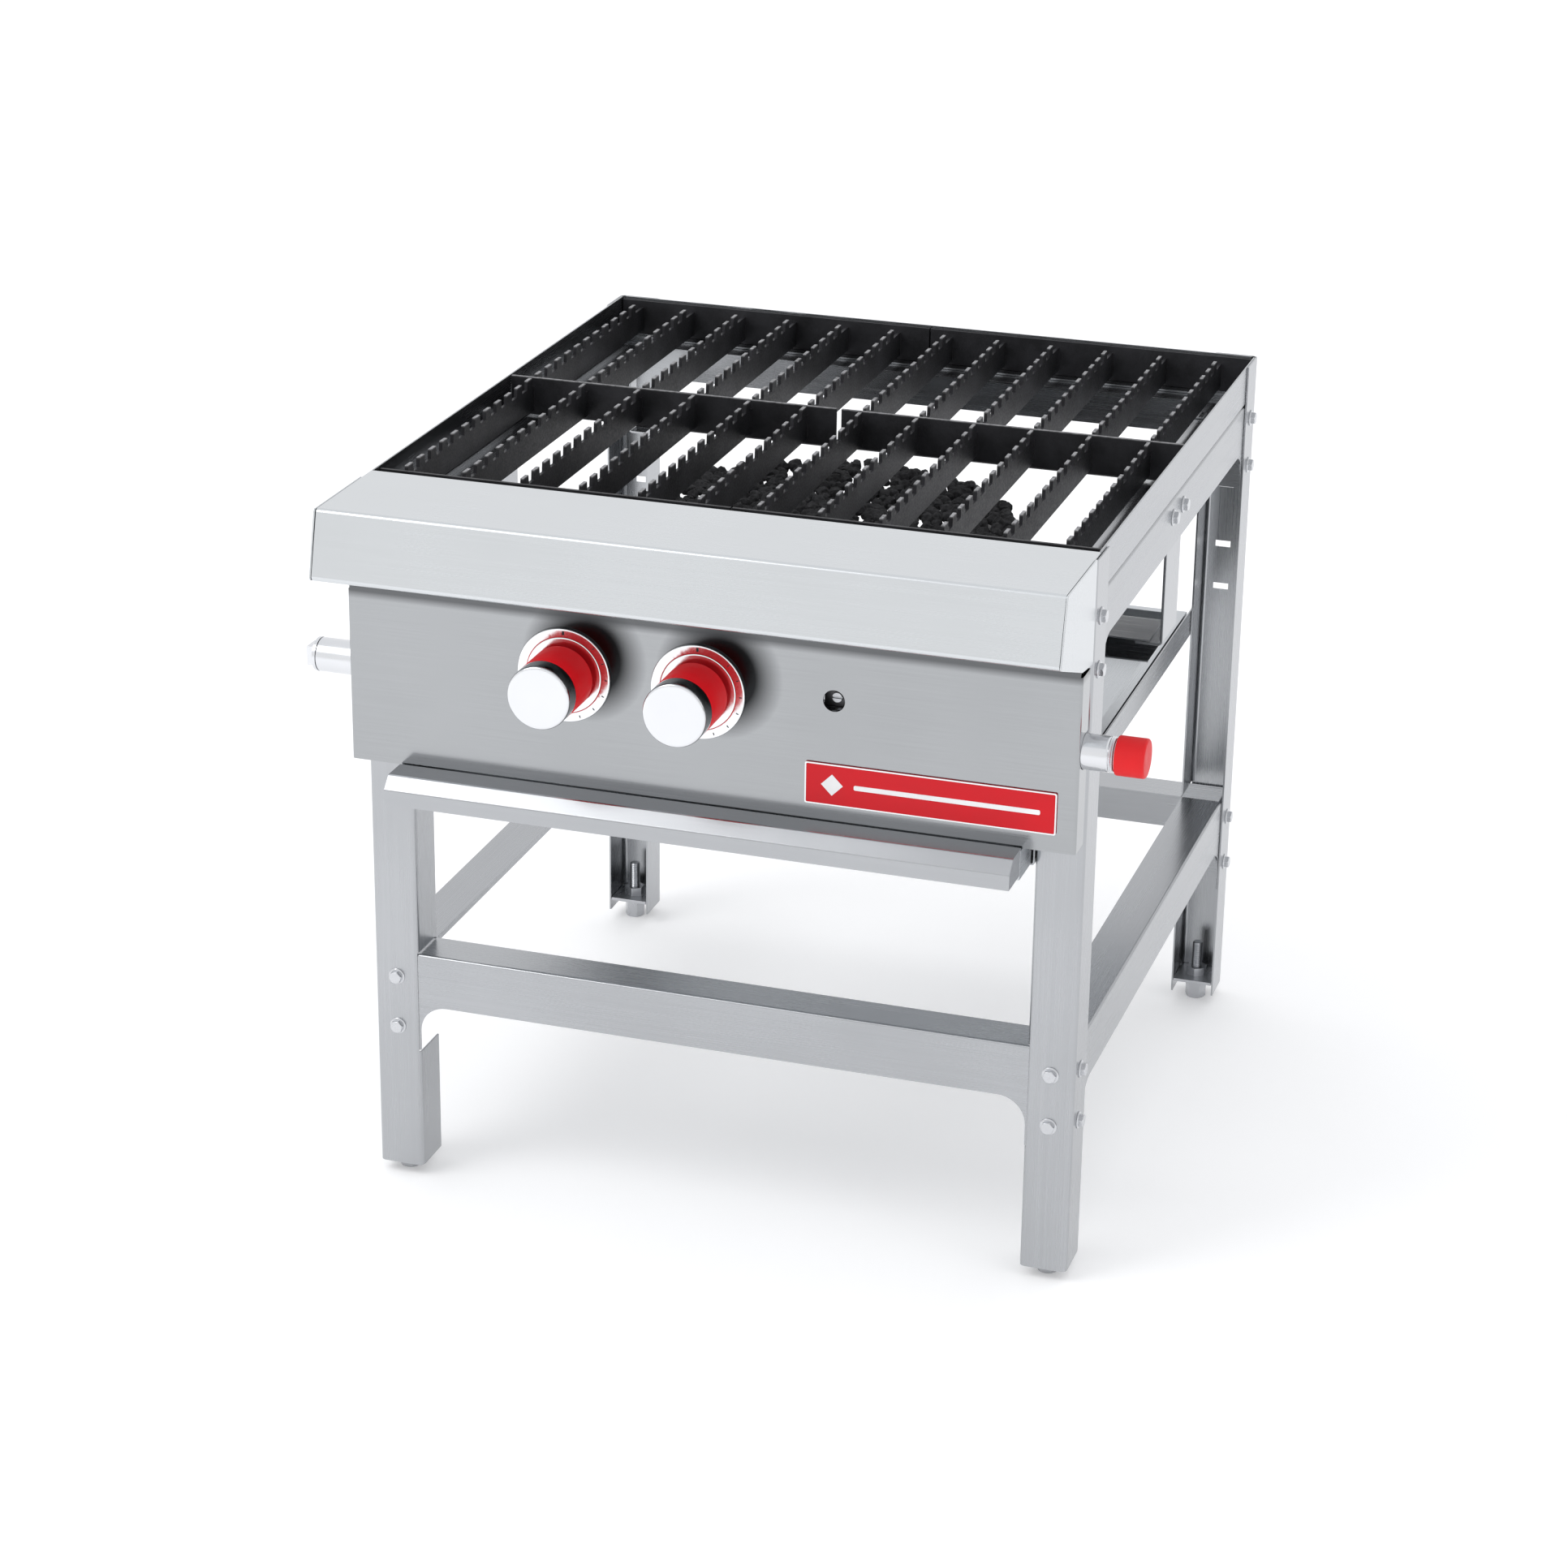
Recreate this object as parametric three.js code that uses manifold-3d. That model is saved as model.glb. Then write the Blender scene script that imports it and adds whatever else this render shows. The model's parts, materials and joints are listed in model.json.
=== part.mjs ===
// Counter charbroiler: leg frame, grates over lava rock, gas manifold and drip tray.
// Millimetres, +Z up, front towards -Y, origin on the floor at the centre of the footprint.
import * as THREE from 'three';
import { mergeVertices } from 'three/addons/utils/BufferGeometryUtils.js';
import Module from 'manifold-3d';

const wasm = await Module();
wasm.setup();

// Overall sizes
const HALF_WIDTH = 305;
const FRONT_LEG_FACE = -252;
const REAR_LEG_FACE = 356;
const LEG_SIZE = 40;
const LEG_BOTTOM = 10;
const FRONT_LEG_TOP = 625;
const REAR_LEG_TOP = 627;
const SHEET = 1.5;
const BEND = 5;
const GAP = 0.3;

// Frame rails
const RAIL_DEPTH = 38;
const RAIL_HALF_X = 299.7;
const RAIL_FRONT_END = -246.7;
const RAIL_REAR_END = 350.7;
const SIDE_FACE = 303.2;
const FRONT_FACE = -250.2;
const REAR_FACE = 354.2;
const FLANGE_HALF_X = 264.5;
const FLANGE_FRONT_END = -211.5;
const FLANGE_REAR_END = 315.5;
const LOWER_RAIL = { low: 162, high: 209, tab: 120 };
const UPPER_SIDE_RAIL = { low: 548, high: 591, tab: 503 };
const UPPER_FRONT_RAIL = { low: 525, high: 591, tab: 503 };
const UPPER_REAR_RAIL = { low: 550, high: 591, tab: 503 };
const TAB_CURVE = 24;
const BAND_LOW = 591.3;
const BAND_HIGH = 627;
const BAND_FOOT = 16;

// Burner carrier: a cross channel hung from the side rails by two straps
const CARRIER_Y = 48;
const CARRIER_DEPTH = 56;
const CARRIER_LOW = 447.6;
const CARRIER_HIGH = 467.7;
const CARRIER_HALF_X = 290;
const STRAP_FOOT = 277.8;
const STRAP_FOOT_LOW = 463.4;
const STRAP_SETBACK = 3.7;
const STRAP_THICK = 2.5;
const REAR_SLOTS = [406.5, 447.5, 505];

// Front: nosing, control panel, knobs, gas train
const NOSING_TOP = 627;
const NOSING_REAR = -234;
const PANEL_FACE = -284;
const PANEL_BOTTOM = 395;
const PANEL_SIDE_TOP = 541.5;
const PANEL_TOP = 600;
const PANEL_RETURN = 24;
const PANEL_HALF_UPPER = 303.2;
const CONTROL_Z = 491.5;
const CONTROL_X = [-118, -5];
const PILOT_X = 107;
const PILOT_Z = 497.6;
const PILOT_FRONT = -273;
const PILOT_SCREW = 4.2;
const PIPE_Y = -267.3;
const PIPE_Z = 476;
const PIPE_RADIUS = 14.25;
const PIPE_BORE = 11;
const PIPE_LEFT = -337;
const PLUG_LEFT = -347;
const PIPE_RIGHT = 346;
const STEM_RADIUS = 3;
const RUNNING_FIT = 0.05;

// Burners, rack and rock
const BURNER_RADIUS = 19;
const BURNER_WALL = 1.5;
const BURNER_Z = 487;
const SPUD_Z = 484.4;
const BURNER_X = 118;
const BURNER_FRONT = -232;
const BURNER_REAR = 190;
const RACK_Z = 530.8;
const RACK_FRONT = -225;
const RACK_REAR = 270;
const RACK_HALF_X = 259;
const ROD_RADIUS = 4;
const ROD_PITCH = 54.5;
const ROCK_RADIUS = 167;
const ROCK_Y = 20;
const ROCK_LOW = 535.2;
const ROCK_HEIGHT = 13;

// Drip tray and handle
const TRAY_HALF_X = 262;
const TRAY_FRONT = -287.7;
const TRAY_REAR = 310;
const TRAY_LOW = 369;
const TRAY_HIGH = 393.6;
const TRAY_LIP = 394.2;
const TRAY_RIM = 9;
const RUNNER_HIGH = 392.8;
const TRAY_SHEET = 1.2;

// Grates
const GRATE_HALF = 301;
const GRATE_SEAM = 0.7;
const SEAM_SLIT = 1.6;
const GRATE_FRONT = -222;
const GRATE_REAR = 352;
const GRATE_MID = 65.5;
const GRATE_LOW = 593.1;
const GRATE_TOP = 627;
const PLATE_THICK = 3;
const BAR_THICK = 3;
const BAR_LOW = 597;
const BAR_FIRST = 19.5;
const BAR_PITCH = 50.4;
const BAR_COUNT = 6;
const TOOTH_PITCH = 24;
const TOOTH_DEPTH = 8;
const TOOTH_TOP = 11;
const TOOTH_SLANT = 0.8;

// Levelling feet
const FOOT_X = 285;
const FOOT_FRONT_Y = -232;
const FOOT_REAR_Y = 335;
const FOOT_HEX = 17;

const MATERIALS = {
  steel: { color: 0xb9bec2, roughness: 0.38, metalness: 1 },
  polished: { color: 0xd5d9dc, roughness: 0.22, metalness: 1 },
  chrome: { color: 0xe6e9eb, roughness: 0.08, metalness: 1 },
  iron: { color: 0x1b1c1f, roughness: 0.7, metalness: 0.6 },
  rock: { color: 0x2a2624, roughness: 0.95, metalness: 0 },
  red: { color: 0xcf1f24, roughness: 0.4, metalness: 0 },
  brass: { color: 0xb08d4a, roughness: 0.35, metalness: 1 },
  zinc: { color: 0x9ca1a5, roughness: 0.45, metalness: 1 },
};

const group = new THREE.Group();

// ---- shape helpers ----

function shapeFrom(points) {
  return new THREE.Shape(points.map(([u, v]) => new THREE.Vector2(u, v)));
}

function extrude(shape, length) {
  return new THREE.ExtrudeGeometry(shape, { depth: length, bevelEnabled: false, curveSegments: 12 });
}

// Outline in X and Z, pushed along Y.
function prismY(points, y0, y1) {
  const geometry = extrude(shapeFrom(points.map(([x, z]) => [z, x])), y1 - y0);
  const turn = new THREE.Matrix4().makeBasis(
    new THREE.Vector3(0, 0, 1),
    new THREE.Vector3(1, 0, 0),
    new THREE.Vector3(0, 1, 0),
  );
  geometry.applyMatrix4(turn);
  return geometry.translate(0, y0, 0);
}

// Outline in Y and Z, pushed along X.
function prismX(points, x0, x1) {
  const geometry = extrude(shapeFrom(points), x1 - x0);
  const turn = new THREE.Matrix4().makeBasis(
    new THREE.Vector3(0, 1, 0),
    new THREE.Vector3(0, 0, 1),
    new THREE.Vector3(1, 0, 0),
  );
  geometry.applyMatrix4(turn);
  return geometry.translate(x0, 0, 0);
}

// Outline in X and Y, pushed along Z.
function prismZ(points, z0, z1) {
  return extrude(shapeFrom(points), z1 - z0).translate(0, 0, z0);
}

function box(x0, x1, y0, y1, z0, z1) {
  const geometry = new THREE.BoxGeometry(Math.abs(x1 - x0), Math.abs(y1 - y0), Math.abs(z1 - z0));
  return geometry.translate((x0 + x1) / 2, (y0 + y1) / 2, (z0 + z1) / 2);
}

// Box on one side of the centre plane; side is 1 or -1.
function sideBox(side, x0, x1, y0, y1, z0, z1) {
  return box(side * x0, side * x1, y0, y1, z0, z1);
}

function rodY(x, z, radius, y0, y1, segments = 32) {
  const geometry = new THREE.CylinderGeometry(radius, radius, y1 - y0, segments);
  return geometry.translate(x, (y0 + y1) / 2, z);
}

function rodX(y, z, radius, x0, x1, segments = 32) {
  const geometry = new THREE.CylinderGeometry(radius, radius, x1 - x0, segments);
  return geometry.rotateZ(Math.PI / 2).translate((x0 + x1) / 2, y, z);
}

function rodZ(x, y, radius, z0, z1, segments = 32) {
  const geometry = new THREE.CylinderGeometry(radius, radius, z1 - z0, segments);
  return geometry.rotateX(Math.PI / 2).translate(x, y, (z0 + z1) / 2);
}

function hexZ(x, y, acrossFlats, z0, z1) {
  return rodZ(x, y, acrossFlats / Math.sqrt(3), z0, z1, 6);
}

// Closed outline of a bent strip. The given line is one face, the metal lies to its left.
function strip(points, thickness = SHEET, bend = BEND, steps = 3) {
  const face = [];
  const back = [];
  const line = points.map(([u, v]) => new THREE.Vector2(u, v));
  const last = line.length - 1;
  for (let i = 0; i <= last; i += 1) {
    const before = line[Math.max(i, 1)].clone().sub(line[Math.max(i - 1, 0)]).normalize();
    const after = line[Math.min(i + 1, last)].clone().sub(line[Math.min(i, last - 1)]).normalize();
    const normal = new THREE.Vector2(-before.y, before.x);
    if (i === 0 || i === last) {
      face.push(line[i].clone());
      back.push(line[i].clone().addScaledVector(normal, thickness));
      continue;
    }
    const turn = Math.atan2(before.cross(after), before.dot(after));
    const side = Math.sign(turn);
    const faceRadius = side > 0 ? bend : bend - thickness;
    const backRadius = side > 0 ? bend - thickness : bend;
    const start = line[i].clone().addScaledVector(before, -faceRadius * Math.tan(Math.abs(turn) / 2));
    const centre = start.clone().addScaledVector(normal, side * faceRadius);
    const spoke = start.clone().sub(centre).normalize();
    for (let k = 0; k <= steps; k += 1) {
      const ray = spoke.clone().rotateAround(new THREE.Vector2(), (turn * k) / steps);
      face.push(centre.clone().addScaledVector(ray, faceRadius));
      back.push(centre.clone().addScaledVector(ray, backRadius));
    }
  }
  return [...face, ...back.reverse()].map((p) => [p.x, p.y]);
}

// Rail web seen square on: a strip whose two ends reach down as bolting tabs.
function railOutline(start, end, startLeg, endLeg, rail) {
  const points = [[start, rail.high], [end, rail.high], [end, rail.tab]];
  const drop = Math.min(TAB_CURVE, rail.low - rail.tab);
  const steps = 5;
  points.push([endLeg, rail.tab]);
  for (let k = 0; k <= steps; k += 1) {
    const angle = (Math.PI / 2) * (k / steps);
    points.push([endLeg - drop * (1 - Math.cos(angle)), rail.low - drop * (1 - Math.sin(angle))]);
  }
  for (let k = steps; k >= 0; k -= 1) {
    const angle = (Math.PI / 2) * (k / steps);
    points.push([startLeg + drop * (1 - Math.cos(angle)), rail.low - drop * (1 - Math.sin(angle))]);
  }
  points.push([startLeg, rail.tab]);
  points.push([start, rail.tab]);
  return points;
}

// Tube that follows a line of points.
function tube(points, radius, radial, steps) {
  const curve = points.length === 2
    ? new THREE.LineCurve3(points[0], points[1])
    : new THREE.CatmullRomCurve3(points, false, 'centripetal');
  const ring = [];
  for (let k = 0; k < radial; k += 1) {
    const angle = (k / radial) * 2 * Math.PI;
    ring.push([radius * Math.cos(angle), radius * Math.sin(angle)]);
  }
  const options = { steps, extrudePath: curve, bevelEnabled: false };
  return new THREE.ExtrudeGeometry(shapeFrom(ring), options);
}

// ---- solid helpers ----

function toSolid(geometry) {
  const bare = geometry.clone();
  bare.deleteAttribute('normal');
  bare.deleteAttribute('uv');
  const merged = mergeVertices(bare, 1e-4);
  const index = merged.index.array;
  const kept = [];
  for (let i = 0; i < index.length; i += 3) {
    const [a, b, c] = [index[i], index[i + 1], index[i + 2]];
    if (a !== b && b !== c && a !== c) kept.push(a, b, c);
  }
  return new wasm.Manifold(new wasm.Mesh({
    numProp: 3,
    vertProperties: new Float32Array(merged.attributes.position.array),
    triVerts: new Uint32Array(kept),
  }));
}

function join(...geometries) {
  return geometries.map(toSolid).reduce((sum, next) => sum.add(next));
}

function cut(solid, ...geometries) {
  return geometries.map(toSolid).reduce((rest, next) => rest.subtract(next), solid);
}

function toGeometry(solid) {
  const mesh = solid.getMesh();
  const geometry = new THREE.BufferGeometry();
  geometry.setAttribute('position', new THREE.BufferAttribute(new Float32Array(mesh.vertProperties), 3));
  geometry.setIndex(new THREE.BufferAttribute(new Uint32Array(mesh.triVerts), 1));
  geometry.computeVertexNormals();
  return geometry;
}

function add(name, solid, material) {
  const geometry = solid.isBufferGeometry ? toGeometry(toSolid(solid)) : toGeometry(solid);
  const mesh = new THREE.Mesh(geometry, new THREE.MeshStandardMaterial(MATERIALS[material]));
  mesh.name = name;
  group.add(mesh);
}

const SIDES = [['left', -1], ['right', 1]];

// ---- legs, feet ----

function addLeg(name, side, face, inward, top, notches) {
  const inner = HALF_WIDTH - LEG_SIZE;
  const open = face + inward * LEG_SIZE;
  const path = [[inner, open], [inner, face], [HALF_WIDTH, face], [HALF_WIDTH, open]];
  const ordered = inward > 0 ? path : [...path].reverse();
  const outline = strip(ordered).map(([x, y]) => [side * x, y]);
  let leg = toSolid(prismZ(outline, LEG_BOTTOM, top));
  for (const [low, high] of notches) {
    const start = face + inward * SHEET;
    leg = cut(leg, sideBox(side, inner - 1, inner + BEND + 0.5, start, open + inward, low, high));
  }
  if (inward < 0) {
    for (const height of REAR_SLOTS) {
      leg = cut(leg, sideBox(side, 276, 290, face - 3, face + 1, height - 3, height + 3));
    }
  }
  add(name, leg, 'steel');
}

function addFoot(name, side, face, inward, y) {
  const low = 20;
  const high = 23;
  const inner = HALF_WIDTH - LEG_SIZE + SHEET + 0.4;
  const outer = HALF_WIDTH - SHEET - 0.4;
  const back = face + inward * (SHEET + 0.4);
  const open = face + inward * LEG_SIZE;
  const corner = 3.2;
  const outline = [
    [inner, open],
    [inner, back + inward * corner],
    [inner + corner, back],
    [outer - corner, back],
    [outer, back + inward * corner],
    [outer, open],
  ].map(([px, py]) => [side * px, py]);
  const x = side * FOOT_X;
  let bracket = join(prismZ(outline, low, high), hexZ(x, y, FOOT_HEX, high - 0.5, high + 8));
  bracket = cut(bracket, rodZ(x, y, 5 + RUNNING_FIT, low - 2, high + 10, 24));
  add(`foot_bracket_${name}`, bracket, 'zinc');
  const foot = join(hexZ(x, y, FOOT_HEX, 0, 19), rodZ(x, y, 5, 18, 56, 24));
  add(`levelling_foot_${name}`, foot, 'zinc');
}

for (const [word, side] of SIDES) {
  const lowNotch = [LOWER_RAIL.tab - 2, LOWER_RAIL.high + 2];
  const topNotch = [UPPER_SIDE_RAIL.tab - 2, REAR_LEG_TOP + 5];
  addLeg(`leg_front_${word}`, side, FRONT_LEG_FACE, 1, FRONT_LEG_TOP, [lowNotch, topNotch]);
  addLeg(`leg_rear_${word}`, side, REAR_LEG_FACE, -1, REAR_LEG_TOP, [lowNotch, topNotch]);
  addFoot(`front_${word}`, side, FRONT_LEG_FACE, 1, FOOT_FRONT_Y);
  addFoot(`rear_${word}`, side, REAR_LEG_FACE, -1, FOOT_REAR_Y);
}

// ---- rails ----

function crossRail(face, inward, rail, lowerFlange) {
  const legInner = HALF_WIDTH - LEG_SIZE;
  const outline = railOutline(-RAIL_HALF_X, RAIL_HALF_X, -legInner, legInner, rail);
  const y0 = Math.min(face, face + inward * SHEET);
  const web = prismY(outline, y0, y0 + SHEET);
  const tip = face + inward * RAIL_DEPTH;
  const parts = [web, box(-FLANGE_HALF_X, FLANGE_HALF_X, face, tip, rail.high - SHEET, rail.high)];
  if (lowerFlange) {
    parts.push(box(-FLANGE_HALF_X, FLANGE_HALF_X, face, tip, rail.low, rail.low + SHEET));
  }
  return join(...parts);
}

function sideRail(side, rail) {
  const frontLeg = FRONT_LEG_FACE + LEG_SIZE;
  const rearLeg = REAR_LEG_FACE - LEG_SIZE;
  const outline = railOutline(RAIL_FRONT_END, RAIL_REAR_END, frontLeg, rearLeg, rail);
  const x0 = Math.min(side * SIDE_FACE, side * (SIDE_FACE - SHEET));
  const web = prismX(outline, x0, x0 + SHEET);
  const inner = SIDE_FACE - RAIL_DEPTH;
  const flange = sideBox(
    side, inner, SIDE_FACE, FLANGE_FRONT_END, FLANGE_REAR_END, rail.high - SHEET, rail.high,
  );
  return join(web, flange);
}

add('lower_rail_front', crossRail(FRONT_FACE, 1, LOWER_RAIL, false), 'steel');
add('lower_rail_rear', crossRail(REAR_FACE, -1, LOWER_RAIL, false), 'steel');
add('upper_rail_front', crossRail(FRONT_FACE, 1, UPPER_FRONT_RAIL, true), 'steel');
add('upper_rail_rear', crossRail(REAR_FACE, -1, UPPER_REAR_RAIL, false), 'steel');
for (const [word, side] of SIDES) {
  add(`lower_rail_${word}`, sideRail(side, LOWER_RAIL), 'steel');
  add(`upper_rail_${word}`, sideRail(side, UPPER_SIDE_RAIL), 'steel');
  const inner = SIDE_FACE - SHEET;
  const footInner = SIDE_FACE - BAND_FOOT;
  const band = join(
    sideBox(side, inner, SIDE_FACE, NOSING_REAR + 1, RAIL_REAR_END, BAND_LOW, BAND_HIGH),
    sideBox(side, footInner, SIDE_FACE, FLANGE_FRONT_END, FLANGE_REAR_END, BAND_LOW, BAND_LOW + 1.3),
  );
  add(`top_band_${word}`, band, 'steel');
}
add('top_band_rear', join(
  box(-RAIL_HALF_X, RAIL_HALF_X, REAR_FACE - SHEET, REAR_FACE, BAND_LOW, BAND_HIGH),
  box(-FLANGE_HALF_X, FLANGE_HALF_X, REAR_FACE - BAND_FOOT, REAR_FACE, BAND_LOW, BAND_LOW + 1.3),
), 'steel');

// ---- burner carrier and tray runners ----

for (const [word, side] of SIDES) {
  const strapFace = SIDE_FACE - SHEET - GAP;
  const strap = strip([
    [STRAP_FOOT, STRAP_FOOT_LOW],
    [strapFace, STRAP_FOOT_LOW],
    [strapFace, UPPER_SIDE_RAIL.high - SHEET - 0.5],
  ], STRAP_THICK, 4).map(([x, z]) => [side * x, z]);
  const strapFront = CARRIER_Y - CARRIER_DEPTH / 2;
  const strapRear = CARRIER_Y + CARRIER_DEPTH / 2 - STRAP_SETBACK;
  add(`strap_${word}`, prismY(strap, strapFront, strapRear), 'steel');
  const runner = strip([
    [264.5, RUNNER_HIGH],
    [264.5, 366.8],
    [240, 366.8],
  ].reverse(), SHEET, 2.5).map(([x, z]) => [side * x, z]);
  add(`tray_runner_${word}`, prismY(runner, -250, 354), 'steel');
}
add('burner_support', prismX(strip([
  [CARRIER_Y - CARRIER_DEPTH / 2, CARRIER_LOW],
  [CARRIER_Y + CARRIER_DEPTH / 2, CARRIER_LOW],
  [CARRIER_Y + CARRIER_DEPTH / 2, CARRIER_HIGH],
  [CARRIER_Y - CARRIER_DEPTH / 2, CARRIER_HIGH],
], SHEET, 3), -CARRIER_HALF_X, CARRIER_HALF_X), 'steel');

// ---- nosing, control panel ----

const nosingSkin = strip([[NOSING_REAR, NOSING_TOP], [-342, NOSING_TOP], [-356, 572], [-286, 546.5]], SHEET, 4);
add('nosing', join(
  prismX(nosingSkin, -PANEL_HALF_UPPER, PANEL_HALF_UPPER),
  box(-262, 262, NOSING_REAR - SHEET, NOSING_REAR, GRATE_LOW, NOSING_TOP),
), 'polished');
const capOutline = [[-343, NOSING_TOP], [-252.4, NOSING_TOP], [-252.4, 542], [-286, 546.5], [-356, 572]];
for (const [word, side] of SIDES) {
  const x0 = Math.min(side * HALF_WIDTH, side * (HALF_WIDTH - SHEET));
  add(`nosing_end_cap_${word}`, prismX(capOutline, x0, x0 + SHEET), 'polished');
}

let panel = join(
  box(-HALF_WIDTH, HALF_WIDTH, PANEL_FACE, PANEL_FACE + SHEET, PANEL_BOTTOM, PANEL_SIDE_TOP),
  box(-PANEL_HALF_UPPER, PANEL_HALF_UPPER, PANEL_FACE, PANEL_FACE + SHEET, PANEL_SIDE_TOP - 1, PANEL_TOP),
  box(-HALF_WIDTH, HALF_WIDTH, PANEL_FACE, PANEL_FACE + 14, PANEL_BOTTOM, PANEL_BOTTOM + SHEET),
  box(-PANEL_HALF_UPPER, PANEL_HALF_UPPER, PANEL_FACE, -252.6, PANEL_TOP - SHEET, PANEL_TOP),
  box(-PANEL_HALF_UPPER, PANEL_HALF_UPPER, -252.6 - SHEET, -252.6, 575, PANEL_TOP),
);
for (const [, side] of SIDES) {
  panel = panel.add(toSolid(sideBox(
    side, HALF_WIDTH - SHEET, HALF_WIDTH, PANEL_FACE, PANEL_FACE + PANEL_RETURN, PANEL_BOTTOM, PANEL_SIDE_TOP,
  )));
  const x0 = side > 0 ? 303 : -306;
  panel = cut(
    panel,
    rodX(PIPE_Y, PIPE_Z, PIPE_RADIUS + 0.55, x0, x0 + 3, 28),
    box(x0, x0 + 3, PIPE_Y, PANEL_FACE + PANEL_RETURN + 1, PIPE_Z - 14.8, PIPE_Z + 14.8),
  );
}
for (const x of CONTROL_X) {
  panel = cut(panel, rodY(x, CONTROL_Z, 6, PANEL_FACE - 1, PANEL_FACE + 3, 24));
}
panel = cut(panel, rodY(PILOT_X, PILOT_Z, 9, PANEL_FACE - 1, PANEL_FACE + 3, 32));
add('control_panel', panel, 'steel');

const badge = new THREE.Shape();
const badgeBox = { x0: 84.5, x1: 289, z0: 410, z1: 445, r: 1.5 };
badge.moveTo(badgeBox.z0 + badgeBox.r, badgeBox.x0);
badge.lineTo(badgeBox.z1 - badgeBox.r, badgeBox.x0);
badge.absarc(badgeBox.z1 - badgeBox.r, badgeBox.x0 + badgeBox.r, badgeBox.r, -Math.PI / 2, 0);
badge.lineTo(badgeBox.z1, badgeBox.x1 - badgeBox.r);
badge.absarc(badgeBox.z1 - badgeBox.r, badgeBox.x1 - badgeBox.r, badgeBox.r, 0, Math.PI / 2);
badge.lineTo(badgeBox.z0 + badgeBox.r, badgeBox.x1);
badge.absarc(badgeBox.z0 + badgeBox.r, badgeBox.x1 - badgeBox.r, badgeBox.r, Math.PI / 2, Math.PI);
badge.lineTo(badgeBox.z0, badgeBox.x0 + badgeBox.r);
badge.absarc(badgeBox.z0 + badgeBox.r, badgeBox.x0 + badgeBox.r, badgeBox.r, Math.PI, 1.5 * Math.PI);
const badgePoints = badge.getPoints(4).map((p) => [p.y, p.x]);
add('badge_plate', prismY(badgePoints.slice(0, -1), PANEL_FACE - 1.9, PANEL_FACE - GAP), 'red');

// ---- knobs and valves ----

// Ring profile turned about a line along Y. Points are radius and Y.
function turnedY(points, x, z, segments = 48) {
  const profile = points.map(([r, y]) => new THREE.Vector2(r, y));
  const geometry = new THREE.LatheGeometry([...profile, profile[0].clone()], segments);
  return geometry.translate(x, 0, z);
}

CONTROL_X.forEach((x, i) => {
  const word = SIDES[i][0];
  add(`knob_bezel_${word}`, turnedY([
    [20, PANEL_FACE - GAP],
    [20, PANEL_FACE - 2.6],
    [38, PANEL_FACE - 2.9],
    [39.5, PANEL_FACE - 2.2],
    [39.5, PANEL_FACE - GAP],
  ], x, CONTROL_Z), 'chrome');
  add(`knob_red_ring_${word}`, turnedY([
    [19.3, -291.3],
    [19.3, -327],
    [25.9, -327],
    [26.5, -326.2],
    [26.5, -291.3],
  ], x, CONTROL_Z), 'red');
  const knob = toSolid(turnedY([
    [0.001, -343],
    [25.2, -343],
    [26.4, -341.8],
    [26.4, -327.3],
    [19, -327.3],
    [19, -292],
    [0.001, -292],
  ], x, CONTROL_Z));
  const bored = cut(knob, rodY(x, CONTROL_Z, STEM_RADIUS + RUNNING_FIT, -311, -291, 24));
  add(`knob_body_${word}`, bored, 'chrome');
  add(`valve_stem_${word}`, rodY(x, CONTROL_Z, STEM_RADIUS, -306, -275.4, 24), 'brass');
  const clearance = rodX(PIPE_Y, PIPE_Z, PIPE_RADIUS + 0.35, x - 20, x + 20, 32);
  const valve = cut(
    join(
      box(x - 12, x + 12, -281.4, -240, 480, 503),
      rodY(x, SPUD_Z, 5, -241, -226, 20),
    ),
    clearance,
    rodY(x, CONTROL_Z, STEM_RADIUS + RUNNING_FIT, -285, -275, 24),
  );
  add(`valve_body_${word}`, valve, 'brass');
});

const pilot = cut(
  join(
    box(PILOT_X - 11, PILOT_X + 11, PILOT_FRONT, -250, 482, 509),
    rodY(PILOT_X, PILOT_Z, 4, -251, -243, 16),
  ),
  rodX(PIPE_Y, PIPE_Z, PIPE_RADIUS + 0.35, PILOT_X - 20, PILOT_X + 20, 32),
  rodY(PILOT_X, PILOT_Z, PILOT_SCREW + RUNNING_FIT, -285, -266.3, 24),
);
add('pilot_valve', pilot, 'zinc');
add('pilot_screw', cut(
  toSolid(rodY(PILOT_X, PILOT_Z, PILOT_SCREW, -276, -266.6, 24)),
  box(PILOT_X - 5, PILOT_X + 5, -277, -274.4, PILOT_Z - 0.7, PILOT_Z + 0.7),
), 'zinc');
add('pilot_tube', tube([
  new THREE.Vector3(PILOT_X, -242.7, PILOT_Z),
  new THREE.Vector3(PILOT_X, -215, PILOT_Z + 3),
  new THREE.Vector3(PILOT_X - 20, -150, 512),
  new THREE.Vector3(30, -60, 513.5),
  new THREE.Vector3(0, 20, 513.5),
], 3, 10, 18), 'brass');

// ---- gas manifold ----

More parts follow.
